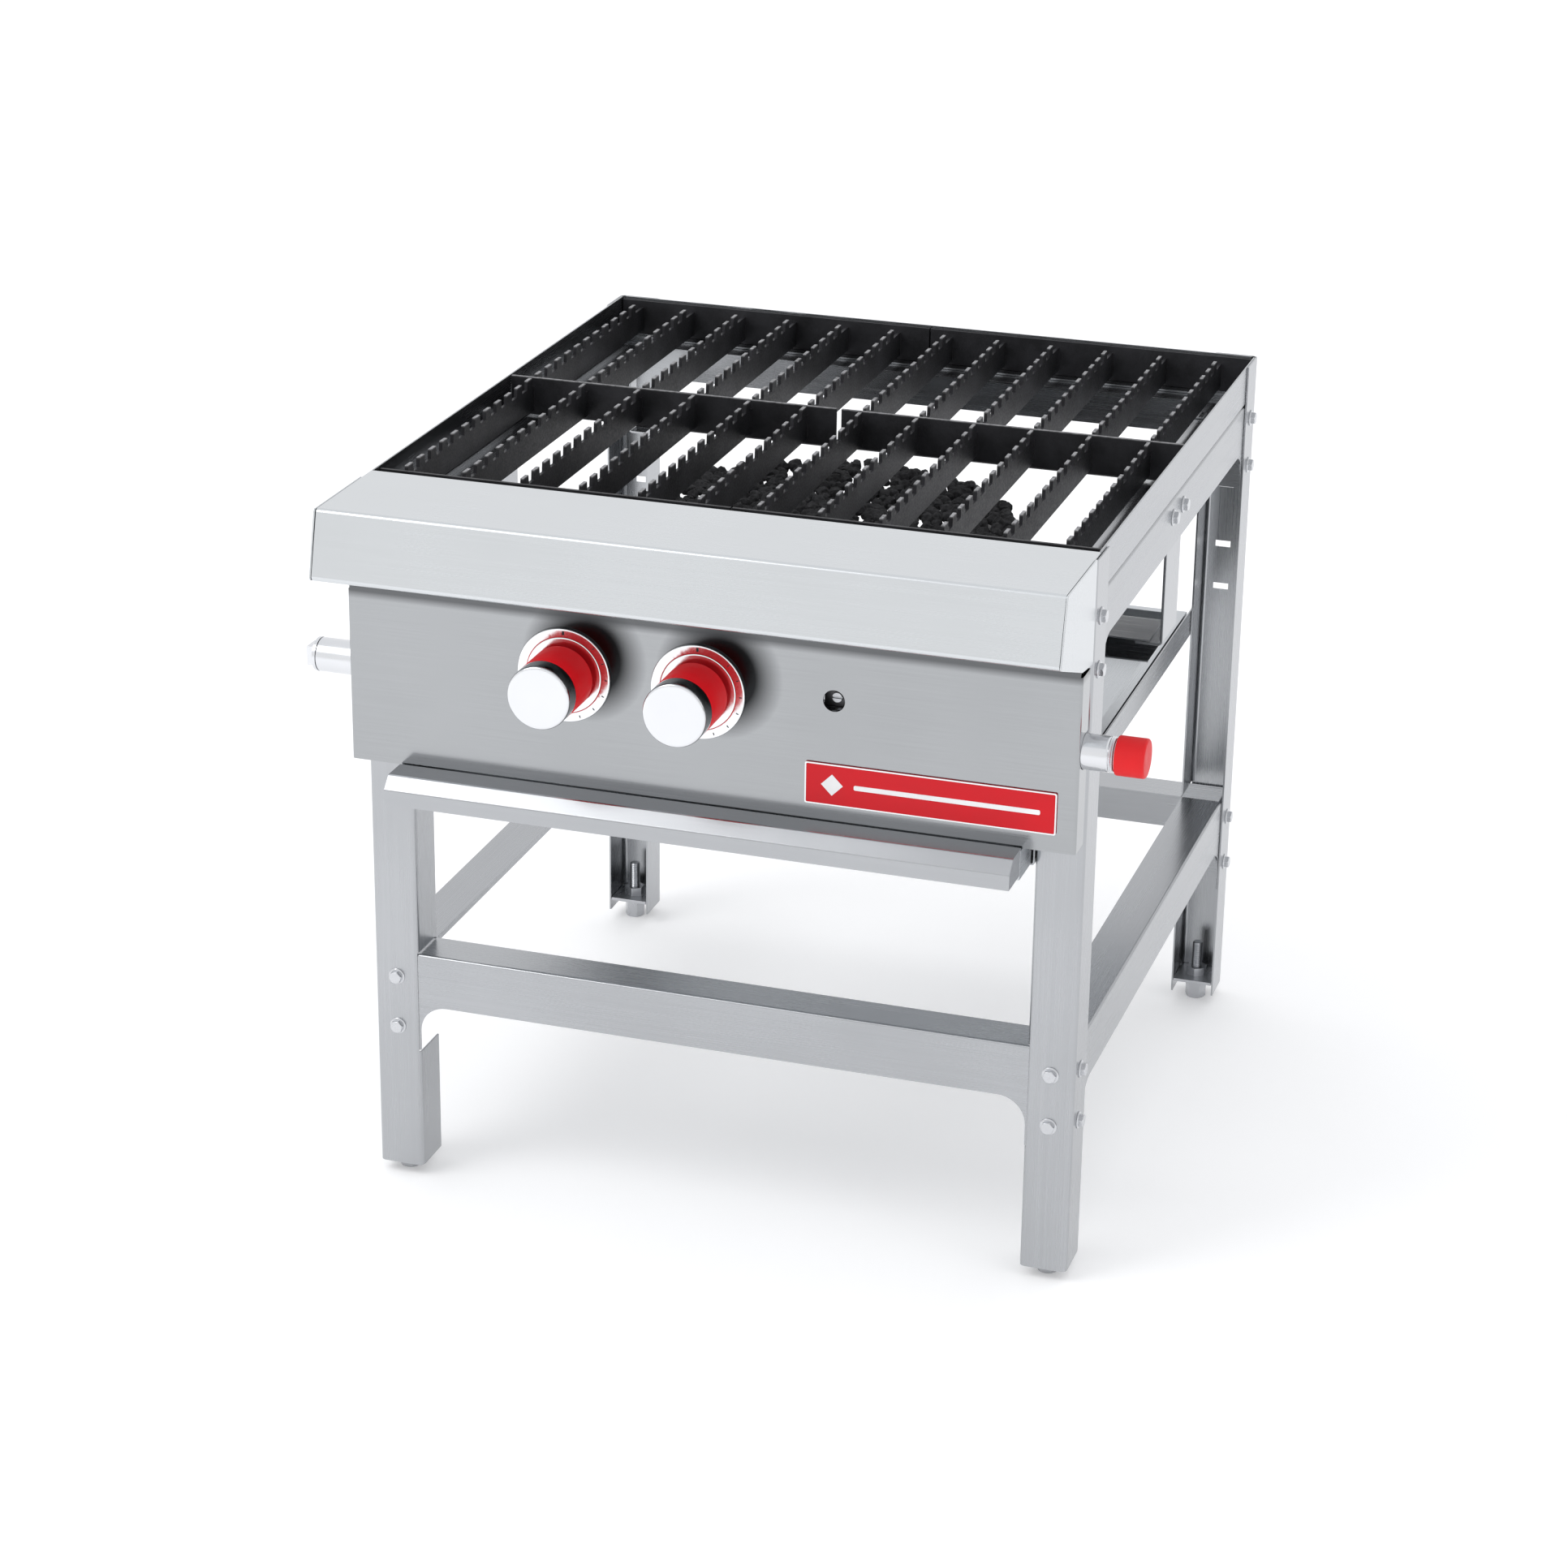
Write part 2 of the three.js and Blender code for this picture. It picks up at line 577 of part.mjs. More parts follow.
let pipe = cut(
  toSolid(rodX(PIPE_Y, PIPE_Z, PIPE_RADIUS, PIPE_LEFT, PIPE_RIGHT, 36)),
  rodX(PIPE_Y, PIPE_Z, PIPE_BORE, PIPE_LEFT - 1, PIPE_RIGHT + 1, 24),
);
for (const x of [...CONTROL_X, PILOT_X]) {
  pipe = cut(pipe, rodZ(x, PIPE_Y, 2.5, PIPE_Z + 5, PIPE_Z + 20, 12));
}
add('gas_manifold', pipe, 'polished');
add('manifold_plug', join(
  rodX(PIPE_Y, PIPE_Z, PIPE_RADIUS, PIPE_LEFT - 3, PIPE_LEFT - GAP, 32),
  box(PLUG_LEFT, PIPE_LEFT - 2, PIPE_Y - 8, PIPE_Y + 8, PIPE_Z - 8, PIPE_Z + 8),
  rodX(PIPE_Y, PIPE_Z, PIPE_BORE - 0.1, PIPE_LEFT - 1, PIPE_LEFT + 14, 24),
), 'zinc');
add('inlet_cap', cut(
  toSolid(rodX(PIPE_Y, PIPE_Z, 15.8, 331, 355, 36)),
  rodX(PIPE_Y, PIPE_Z, PIPE_RADIUS + RUNNING_FIT, 330, PIPE_RIGHT + 0.6, 36),
), 'red');

// ---- burners ----

function addBurner(name, path, inside, ports) {
  const steps = path.length === 2 ? 1 : 16;
  let burner = toSolid(tube(path, BURNER_RADIUS, 20, steps));
  burner = cut(burner, tube(inside, BURNER_RADIUS - BURNER_WALL, 20, steps));
  for (const y of ports) {
    burner = cut(burner, box(
      path[path.length - 1].x - BURNER_RADIUS - 2, path[path.length - 1].x + BURNER_RADIUS + 2,
      y - 1.2, y + 1.2, BURNER_Z + 7, BURNER_Z + 10,
    ));
  }
  add(name, burner, 'iron');
}

const portRows = [];
for (let y = -20; y <= 170; y += 19) {
  portRows.push(y);
}
addBurner(
  'burner_left',
  [new THREE.Vector3(-BURNER_X, BURNER_FRONT, BURNER_Z), new THREE.Vector3(-BURNER_X, BURNER_REAR, BURNER_Z)],
  [new THREE.Vector3(-BURNER_X, BURNER_FRONT - 5, BURNER_Z), new THREE.Vector3(-BURNER_X, BURNER_REAR - 2, BURNER_Z)],
  portRows,
);

// Mixing tube that shifts sideways between the valve and the burner line.
function shiftedPath(front, rear) {
  return [
    new THREE.Vector3(CONTROL_X[1], front, BURNER_Z),
    new THREE.Vector3(CONTROL_X[1], -205, BURNER_Z),
    new THREE.Vector3(CONTROL_X[1] + 12, -178, BURNER_Z),
    new THREE.Vector3((CONTROL_X[1] + BURNER_X) / 2, -122, BURNER_Z),
    new THREE.Vector3(BURNER_X - 12, -66, BURNER_Z),
    new THREE.Vector3(BURNER_X, -38, BURNER_Z),
    new THREE.Vector3(BURNER_X, rear, BURNER_Z),
  ];
}
addBurner('burner_right', shiftedPath(BURNER_FRONT, BURNER_REAR), shiftedPath(BURNER_FRONT - 5, BURNER_REAR - 2), portRows);

// ---- rock rack and rock ----

const rods = [];
for (let i = -4; i <= 4; i += 1) {
  rods.push(rodY(i * ROD_PITCH, RACK_Z, ROD_RADIUS, RACK_FRONT - 3, RACK_REAR + 3, 12));
}
for (const y of [RACK_FRONT, RACK_REAR]) {
  rods.push(rodX(y, RACK_Z, ROD_RADIUS - 0.1, -RACK_HALF_X, RACK_HALF_X, 12));
}
add('rock_rack', join(...rods), 'iron');

// Hangers that hook over the side rails and carry the rear of the rack.
for (const [word, side] of SIDES) {
  const hanger = strip([
    [277, 593.3],
    [261.5, 593.3],
    [261.5, 524.5],
    [247, 524.5],
  ], 2, 3).map(([x, z]) => [side * x, z]);
  add(`rack_hanger_${word}`, prismY(hanger, RACK_REAR - 8, RACK_REAR + 8), 'steel');
}

// Layer of rock: a shallow heap with a lumpy surface.
const heapProfile = [];
const heapRings = 12;
for (let k = 0; k <= heapRings; k += 1) {
  const angle = (k / heapRings) * (Math.PI / 2);
  heapProfile.push(new THREE.Vector2(
    Math.max(ROCK_RADIUS * Math.cos(angle) ** 0.7, 0.001),
    ROCK_HEIGHT * Math.sin(angle) ** 0.5,
  ));
}
heapProfile[heapRings].x = 0;
heapProfile.unshift(new THREE.Vector2(ROCK_RADIUS * 0.97, 0));
heapProfile[1].y = 3;
heapProfile.unshift(new THREE.Vector2(0, 0));
const heap = new THREE.LatheGeometry(heapProfile, 56).rotateX(Math.PI / 2);
const heapAt = heap.attributes.position;
for (let i = 0; i < heapAt.count; i += 1) {
  const x = heapAt.getX(i);
  const y = heapAt.getY(i);
  const z = heapAt.getZ(i);
  const lump = Math.sin(x / 9) * Math.cos(y / 8) + 0.6 * Math.sin((x + y) / 13 + 1);
  const reach = 1 + 0.018 * Math.sin(Math.atan2(y, x) * 13) * (z > 0.5 ? 1 : 0.6);
  heapAt.setXYZ(i, x * reach, y * reach, z > 0.5 ? z + 1.2 * lump * Math.min(1, z / 8) : z);
}
heap.translate(0, ROCK_Y, ROCK_LOW);
add('lava_rocks', heap, 'rock');

// ---- drip tray ----

const trayBody = cut(
  join(
    box(-TRAY_HALF_X, TRAY_HALF_X, TRAY_FRONT, TRAY_REAR, TRAY_LOW, TRAY_HIGH),
    box(-TRAY_HALF_X, TRAY_HALF_X, TRAY_FRONT, TRAY_FRONT + 1.4, TRAY_LOW, TRAY_LIP),
  ),
  box(
    -TRAY_HALF_X + TRAY_SHEET, TRAY_HALF_X - TRAY_SHEET, TRAY_FRONT + 1.4, TRAY_REAR - TRAY_SHEET,
    TRAY_LOW + TRAY_SHEET, TRAY_HIGH - TRAY_SHEET,
  ),
  box(
    -TRAY_HALF_X + TRAY_RIM, TRAY_HALF_X - TRAY_RIM, TRAY_FRONT + 1.4, TRAY_REAR - TRAY_RIM,
    TRAY_HIGH - 10, TRAY_HIGH + 20,
  ),
);
add('drip_tray', trayBody, 'steel');
// The handle is one folded piece: a solid outline hollowed from behind, leaving two end plates.
const handleSkin = strip([[-286, 396], [-310, 396], [-320, 386], [-320, 373]], SHEET, 2.5);
const handleFace = handleSkin.slice(0, handleSkin.length / 2);
const handleBack = handleSkin.slice(handleSkin.length / 2 + 1, -1);
add('drip_tray_handle', cut(
  toSolid(prismX([...handleFace, [-286, 373]], -TRAY_HALF_X, TRAY_HALF_X)),
  prismX(
    [[-320 + SHEET, 370], ...handleBack, [-280, 396 - SHEET], [-280, 370]],
    -TRAY_HALF_X + SHEET, TRAY_HALF_X - SHEET,
  ),
  box(-270, 270, -288, -280, 370, 396 - SHEET),
), 'polished');

// ---- grates ----

function barOutline() {
  const front = GRATE_FRONT - 2;
  const rear = GRATE_REAR;
  const points = [[front, BAR_LOW], [front, GRATE_TOP - TOOTH_DEPTH]];
  const first = GRATE_FRONT + 8;
  const count = Math.floor((rear - 6 - first) / TOOTH_PITCH);
  for (let k = 0; k < count; k += 1) {
    const start = first + k * TOOTH_PITCH;
    points.push([start, GRATE_TOP - TOOTH_DEPTH]);
    points.push([start + TOOTH_SLANT, GRATE_TOP]);
    points.push([start + TOOTH_SLANT + TOOTH_TOP, GRATE_TOP]);
    points.push([start + 2 * TOOTH_SLANT + TOOTH_TOP, GRATE_TOP - TOOTH_DEPTH]);
  }
  points.push([rear, GRATE_TOP - TOOTH_DEPTH]);
  points.push([rear, BAR_LOW]);
  return points;
}

function grate(left, right) {
  const plateTop = GRATE_TOP - 2;
  const midLeft = left > 0 ? left + SEAM_SLIT : left;
  const midRight = right < 0 ? right - SEAM_SLIT : right;
  const parts = [
    box(left, right, GRATE_FRONT, GRATE_FRONT + PLATE_THICK, GRATE_LOW, plateTop),
    box(left, right, GRATE_REAR - PLATE_THICK, GRATE_REAR, GRATE_LOW, plateTop),
    box(midLeft, midRight, GRATE_MID, GRATE_MID + PLATE_THICK, GRATE_LOW, GRATE_TOP - 0.5),
  ];
  for (let i = 0; i < BAR_COUNT; i += 1) {
    const x = left + BAR_FIRST + i * BAR_PITCH;
    parts.push(prismX(barOutline(), x - BAR_THICK / 2, x + BAR_THICK / 2));
  }
  return join(...parts);
}

add('grate_left', grate(-GRATE_HALF, -GRATE_SEAM), 'iron');
add('grate_right', grate(GRATE_SEAM, GRATE_HALF), 'iron');

export default group;
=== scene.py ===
import json
import math
import random

import bmesh
import bpy
from mathutils import Matrix, Vector, noise

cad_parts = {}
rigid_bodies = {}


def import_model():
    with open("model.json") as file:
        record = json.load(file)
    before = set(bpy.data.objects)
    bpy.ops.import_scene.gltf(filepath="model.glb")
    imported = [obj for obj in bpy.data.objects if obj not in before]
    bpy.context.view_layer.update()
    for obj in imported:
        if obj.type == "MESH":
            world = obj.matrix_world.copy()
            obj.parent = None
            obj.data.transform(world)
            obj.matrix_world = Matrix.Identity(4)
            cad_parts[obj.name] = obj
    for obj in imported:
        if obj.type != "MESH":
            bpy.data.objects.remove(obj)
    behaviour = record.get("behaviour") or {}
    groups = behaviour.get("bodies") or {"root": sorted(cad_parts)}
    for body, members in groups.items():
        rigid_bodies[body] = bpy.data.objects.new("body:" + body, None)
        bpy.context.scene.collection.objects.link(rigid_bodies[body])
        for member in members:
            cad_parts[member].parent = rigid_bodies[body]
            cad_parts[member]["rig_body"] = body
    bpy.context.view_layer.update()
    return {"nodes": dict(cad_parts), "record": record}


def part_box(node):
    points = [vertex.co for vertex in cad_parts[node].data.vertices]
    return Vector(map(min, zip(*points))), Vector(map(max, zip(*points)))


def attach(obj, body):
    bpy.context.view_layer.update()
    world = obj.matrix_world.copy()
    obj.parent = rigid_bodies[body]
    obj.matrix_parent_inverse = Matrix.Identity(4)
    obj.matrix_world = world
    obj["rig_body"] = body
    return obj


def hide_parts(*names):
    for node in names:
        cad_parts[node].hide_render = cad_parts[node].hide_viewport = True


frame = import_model()
NODES = frame["nodes"]
SLOT_OF = {part["node"]: part["material_slot"] for part in frame["record"]["subparts"]}
MM = 0.001
SIDES = (("left", -1), ("right", 1))

# ---------------------------------------------------------------- sizes, in millimetres

HALF_WIDTH = 305.0
SHEET = 1.5
BEND = 5.0
LEG_SIZE = 40.0
LEG_INNER = HALF_WIDTH - LEG_SIZE
FRONT_LEG_FACE = -252.0
REAR_LEG_FACE = 356.0
SIDE_FACE = 303.2
FRONT_FACE = -250.2
REAR_FACE = 354.2
RAIL_DEPTH = 38.0
RAIL_HALF_X = 299.7
RAIL_FRONT_END = -246.7
RAIL_REAR_END = 350.7
FLANGE_HALF_X = 264.5
FLANGE_FRONT_END = -211.5
FLANGE_REAR_END = 315.5
LOWER = {"low": 162.0, "high": 209.0, "tab": 120.0, "flange": False}
UPPER_SIDE = {"low": 548.0, "high": 591.0, "tab": 503.0, "flange": False}
UPPER_FRONT = {"low": 525.0, "high": 591.0, "tab": 503.0, "flange": True}
UPPER_REAR = {"low": 550.0, "high": 591.0, "tab": 503.0, "flange": False}
TAB_CURVE = 24.0
BAND_LOW = 591.3
BAND_HIGH = 627.0
BAND_FOOT = 16.0
PANEL_FACE = -284.0
CONTROL_Z = 491.5
CONTROL_X = (-118.0, -5.0)
PILOT = (107.0, 497.6)
PIPE_Y = -267.3
PIPE_Z = 476.0
PIPE_RADIUS = 14.25
GRATE_TOP = 627.0
SHADE_SHIFT = (17.0, 15.0)
CAP_FACE = -342.6

# legs and their slots
LEG_LOW = 10.0
FRONT_LEG_TOP = 625.0
REAR_LEG_TOP = 627.0
LEG_NOTCH_TOP = 640.0
SLOT_HEIGHTS = (406.5, 447.5, 505)
SLOT_ENDS = (276, 290)
SLOT_HALF_HEIGHT = 3
FRAME_BEND = 2.6
FLANGE_INSET = 26.0

# burner carrier, its straps and the tray runners
CARRIER_HALF_X = 290
STRAP_THICK = 2.5
STRAP_REACH = (20, 72.3)
STRAP_PATH = ((277.8, 463.4), (301.4, 463.4), (301.4, 589))
HOOK_PATH = ((277, 593.3), (261.5, 593.3), (261.5, 524.5), (247, 524.5))
HOOK_REACH = (262, 278)
RUNNER_PATH = ((240, 366.8), (264.5, 366.8), (264.5, 392.8))
RUNNER_REACH = (-250, 354)
CARRIER_PATH = ((20, 447.6), (76, 447.6), (76, 467.7), (20, 467.7))

# levelling feet
FOOT_X = 285
FOOT_Y = {"front": -232, "rear": 335}
FOOT_FLATS = 17
FOOT_HIGH = 19
THREAD_PITCH = 1.5
THREAD_TOP = 54.5
THREAD_ROOT = 4.45
THREAD_CREST = 5.0

# nosing and panel
NOSING_PATH = ((-234, 627), (-342, 627), (-356, 572), (-286, 546.5))
END_CAP = (
    (-343.4, 626.4), (-342.2, 627), (-252.4, 627), (-252.4, 542), (-286, 546.5), (-355, 571.6), (-356, 573),
)
PANEL_LOW = 395.0
PANEL_HIGH = 541.5
PANEL_TOP = 600.0
PANEL_INNER = -282.5
PIPE_HOLE = PIPE_RADIUS + 0.55

# badge
BADGE_BOX = (84.5, 289, 410, 445)
BADGE_WINDOW = (85.7, 287.8, 411.2, 443.8)
BADGE_MARK = 107.0
BADGE_MIDDLE = 427.5
DIAMOND_REACH = 9.0

# rock
LUMP_SIZE = (4.8, 6.8)
LUMP_SPACING = 11
LUMP_ROW = 10

# grates
BAR_FRONT = -224.0
BAR_REAR = 352.0
BAR_LOW = 597.0
BAR_HALF_THICK = 1.5
BAR_PITCH = 50.4
BAR_COUNT = 6
FIRST_BAR = 19.5
FIRST_TOOTH = -214.0
TOOTH_DEPTH = 8.0
TOOTH_PITCH = 24.0
TOOTH_SLANT = 0.8
TOOTH_FLAT = 11.0
PLATE_LOW = 593.1

# bolts
LOWER_PAIR = (141, 187)
UPPER_PAIR = (531, 575)
STRAP_BOLTS = (29, 67)
STRAP_BOLT_Z = 574.5

# ---------------------------------------------------------------- camera


CAMERA_PLACE = (0.930875, -2.988631, 1.566655)
CAMERA_AZIMUTH = 0.3092
CAMERA_ELEVATION = 0.3831
CAMERA_ROLL = 0.0133
CAMERA_LENS = 88.87


def make_camera():
    azimuth, elevation, roll = CAMERA_AZIMUTH, CAMERA_ELEVATION, CAMERA_ROLL
    forward = Vector((
        -math.sin(azimuth) * math.cos(elevation),
        math.cos(azimuth) * math.cos(elevation),
        -math.sin(elevation),
    ))
    right = Vector((math.cos(azimuth), math.sin(azimuth), 0.0))
    up = right.cross(forward)
    tilt_right = right * math.cos(roll) + up * math.sin(roll)
    tilt_up = up * math.cos(roll) - right * math.sin(roll)
    turn = Matrix((tilt_right, tilt_up, -forward)).transposed().to_4x4()
    data = bpy.data.cameras.new("camera")
    data.sensor_width = 36.0
    data.lens = CAMERA_LENS
    data.clip_end = 200.0
    camera = bpy.data.objects.new("camera", data)
    camera.matrix_world = Matrix.Translation(CAMERA_PLACE) @ turn
    bpy.context.scene.collection.objects.link(camera)
    bpy.context.scene.camera = camera


make_camera()

# ---------------------------------------------------------------- materials


class Shader:
    """A principled material whose nodes are added by short calls."""

    def __init__(self, name):
        self.material = bpy.data.materials.new(name)
        self.material.use_nodes = True
        self.tree = self.material.node_tree
        self.main = self.tree.nodes["Principled BSDF"]

    def node(self, kind, inputs=None, **settings):
        made = self.tree.nodes.new(kind)
        for key, value in settings.items():
            setattr(made, key, value)
        for key, value in (inputs or {}).items():
            if isinstance(value, bpy.types.NodeSocket):
                self.tree.links.new(value, made.inputs[key])
            else:
                made.inputs[key].default_value = value
        return made

    def set(self, name, value):
        if isinstance(value, bpy.types.NodeSocket):
            self.tree.links.new(value, self.main.inputs[name])
        else:
            self.main.inputs[name].default_value = value

    def place(self, scale):
        coord = self.node("ShaderNodeTexCoord")
        return self.node("ShaderNodeMapping", {"Vector": coord.outputs["Object"], "Scale": scale}).outputs[0]

    def noise(self, scale, detail=4.0, rough=0.55, stretch=(1, 1, 1)):
        vector = self.place(tuple(scale * s for s in stretch))
        made = self.node(
            "ShaderNodeTexNoise", {"Vector": vector, "Scale": 1.0, "Detail": detail, "Roughness": rough}
        )
        return made.outputs["Fac"]

    def span(self, value, low, high, out_low, out_high):
        made = self.node("ShaderNodeMapRange", {
            "Value": value, "From Min": low, "From Max": high, "To Min": out_low, "To Max": out_high,
        })
        return made.outputs[0]

    def math(self, kind, a, b):
        return self.node("ShaderNodeMath", {0: a, 1: b}, operation=kind).outputs[0]

    def blend(self, factor, first, second):
        made = self.node("ShaderNodeMix", data_type="RGBA")
        for index, value in ((0, factor), (6, first), (7, second)):
            if isinstance(value, bpy.types.NodeSocket):
                self.tree.links.new(value, made.inputs[index])
            else:
                made.inputs[index].default_value = value
        return made.outputs[2]

    def bump(self, height, strength, distance):
        made = self.node("ShaderNodeBump", {"Height": height, "Strength": strength, "Distance": distance})
        self.set("Normal", made.outputs[0])


def tone(colour, factor=1.0):
    """The colour made lighter or darker, with its alpha."""
    return tuple(min(1.0, c * factor) for c in colour) + (1.0,)


STRETCH = {"x": (0.006, 1, 1), "y": (1, 0.006, 1), "z": (1, 1, 0.006)}


def brushed(name, colour, rough, along, streak=0.07, bump=0.06, smudge=0.05, shade_range=0.08):
    """Brushed sheet whose lines run along one axis."""
    s = Shader(name)
    fine = s.noise(1500, 3, 0.6, STRETCH[along])
    broad = s.noise(260, 4, 0.6, STRETCH[along])
    haze = s.noise(7, 3, 0.5)
    grain = s.math("ADD", s.math("MULTIPLY", fine, 0.6), s.math("MULTIPLY", broad, 0.4))
    shade = s.math("ADD", s.math("MULTIPLY", grain, 0.6), s.math("MULTIPLY", haze, 0.4))
    light, dark = tone(colour, 1 + shade_range), tone(colour, 1 - shade_range)
    s.set("Base Color", s.blend(s.span(shade, 0.35, 0.65, 0, 1), dark, light))
    lines = s.span(grain, 0.3, 0.7, rough - streak, rough + streak)
    worn = s.math("ADD", lines, s.span(haze, 0.3, 0.7, -smudge, smudge))
    s.set("Roughness", worn)
    s.set("Metallic", 1.0)
    s.bump(grain, bump, 0.0004)
    return s.material


def panel_with_painted_shade(name, colour, rough):
    """Brushed sheet with painted shade: a dark patch painted up and to the right of each dial stands in for
    the knob's shadow and reflection, and a dark line painted along the top, under the nosing, stands in for
    the nosing's shadow.
    """
    s = Shader(name)
    fine = s.noise(1500, 3, 0.6, STRETCH["x"])
    haze = s.noise(7, 3, 0.5)
    shade = s.math("ADD", s.math("MULTIPLY", fine, 0.6), s.math("MULTIPLY", haze, 0.4))
    base = s.blend(s.span(shade, 0.35, 0.65, 0, 1), tone(colour, 0.95), tone(colour, 1.05))
    split = s.node("ShaderNodeSeparateXYZ", {"Vector": s.place((1, 1, 1))})
    # Painted shade: a near-black round patch up and to the right of each dial, standing in for the knob's
    # shadow and reflection.
    for x in CONTROL_X:
        across = s.math("SUBTRACT", split.outputs["X"], (x + SHADE_SHIFT[0]) * MM)
        height = s.math("SUBTRACT", split.outputs["Z"], (CONTROL_Z + SHADE_SHIFT[1]) * MM)
        square = s.math("ADD", s.math("MULTIPLY", across, across), s.math("MULTIPLY", height, height))
        dial_shade_distance = s.math("SQRT", square, 0.0)
        base = s.blend(s.span(dial_shade_distance, 0.030, 0.053, 1.0, 0), base, (0.020, 0.021, 0.022, 1))
    # Painted shadow: a dark line painted along the panel's top edge, under the nosing.
    line = s.span(split.outputs["Z"], 0.5345, 0.541, 0, 0.75)
    base = s.blend(line, base, (0.05, 0.052, 0.055, 1))
    s.set("Base Color", base)
    s.set("Roughness", s.span(fine, 0.3, 0.7, rough - 0.03, rough + 0.03))
    s.set("Metallic", 1.0)
    s.bump(fine, 0.02, 0.0004)
    return s.material


def knob_cap_painted_skirt(name, front, side):
    """Bright plated cap whose skirt is painted a darker tone than its face, a painted reflection standing in
    for dark surroundings mirrored in the chrome.
    """
    s = Shader(name)
    haze = s.noise(25, 4, 0.55)
    split = s.node("ShaderNodeSeparateXYZ", {"Vector": s.place((1, 1, 1))})
    # Painted reflection: behind the cap's front face the skirt takes the darker side tone.
    painted_skirt_mask = s.span(split.outputs["Y"], CAP_FACE * MM, (CAP_FACE + 1.2) * MM, 0, 1)
    base = s.blend(painted_skirt_mask, s.blend(haze, tone(front, 0.97), tone(front, 1.03)), tone(side))
    s.set("Base Color", base)
    s.set("Roughness", s.span(haze, 0.3, 0.7, 0.07, 0.13))
    s.set("Metallic", 1.0)
    s.bump(haze, 0.01, 0.0003)
    return s.material


def plated(name, colour, rough, bump=0.02):
    """Plated or bare metal with a faint haze and fine marks."""
    s = Shader(name)
    haze = s.noise(25, 4, 0.55)
    marks = s.noise(900, 2, 0.5, (1, 0.08, 1))
    s.set("Base Color", s.blend(haze, tone(colour, 0.94), tone(colour, 1.04)))
    worn = s.span(haze, 0.3, 0.7, rough * 0.7, rough * 1.4)
    s.set("Roughness", s.math("ADD", worn, s.span(marks, 0.4, 0.7, 0, 0.05)))
    s.set("Metallic", 1.0)
    s.bump(marks, bump, 0.0003)
    return s.material


def plastic(name, colour, rough, shine=0.25):
    """Plain moulded or painted surface with a fine grain."""
    s = Shader(name)
    haze = s.noise(40, 4, 0.6)
    grain = s.noise(1800, 2, 0.5)
    s.set("Base Color", s.blend(haze, tone(colour, 0.88), tone(colour, 1.06)))
    s.set("Roughness", s.span(haze, 0.3, 0.7, rough * 0.8, rough * 1.25))
    s.set("Specular IOR Level", shine)
    s.bump(grain, 0.05, 0.0003)
    return s.material


def iron(name, colour, rough, metallic, grain_scale=700, bump=0.25, lighter_above=None):
    """Rough dark iron. Above a height it may be lighter, in patches."""
    s = Shader(name)
    grain = s.noise(grain_scale, 6, 0.65)
    haze = s.noise(30, 5, 0.6)
    base = s.blend(s.span(haze, 0.35, 0.65, 0, 1), tone(colour, 0.7), tone(colour, 1.5))
    roughness = s.span(grain, 0.3, 0.7, rough - 0.1, rough + 0.12)
    if lighter_above:
        coord = s.node("ShaderNodeTexCoord")
        height = s.node("ShaderNodeSeparateXYZ", {"Vector": coord.outputs["Object"]}).outputs["Z"]
        band = s.span(height, lighter_above[0], lighter_above[1], 0, 1)
        patch = s.math("MULTIPLY", band, s.span(s.noise(220, 5, 0.6), 0.35, 0.6, 0.35, 1))
        base = s.blend(patch, base, lighter_above[2])
    s.set("Base Color", base)
    s.set("Roughness", roughness)
    s.set("Metallic", metallic)
    s.bump(grain, bump, 0.0006)
    return s.material


def rock(name):
    """Porous near-black rock with pits."""
    s = Shader(name)
    voronoi = s.node("ShaderNodeTexVoronoi", {"Vector": s.place((260, 260, 260)), "Scale": 1.0})
    cells = voronoi.outputs["Distance"]
    grain = s.noise(420, 8, 0.7)
    patch = s.noise(38, 4, 0.6)
    pits = s.math("ADD", s.math("MULTIPLY", cells, 0.6), s.math("MULTIPLY", grain, 0.6))
    dark, light = (0.006, 0.006, 0.007, 1), (0.050, 0.050, 0.053, 1)
    s.set("Base Color", s.blend(s.span(s.math("MULTIPLY", pits, patch), 0.1, 0.45, 0, 1), dark, light))
    s.set("Roughness", s.span(grain, 0.3, 0.7, 0.75, 1.0))
    s.bump(pits, 0.9, 0.003)
    return s.material


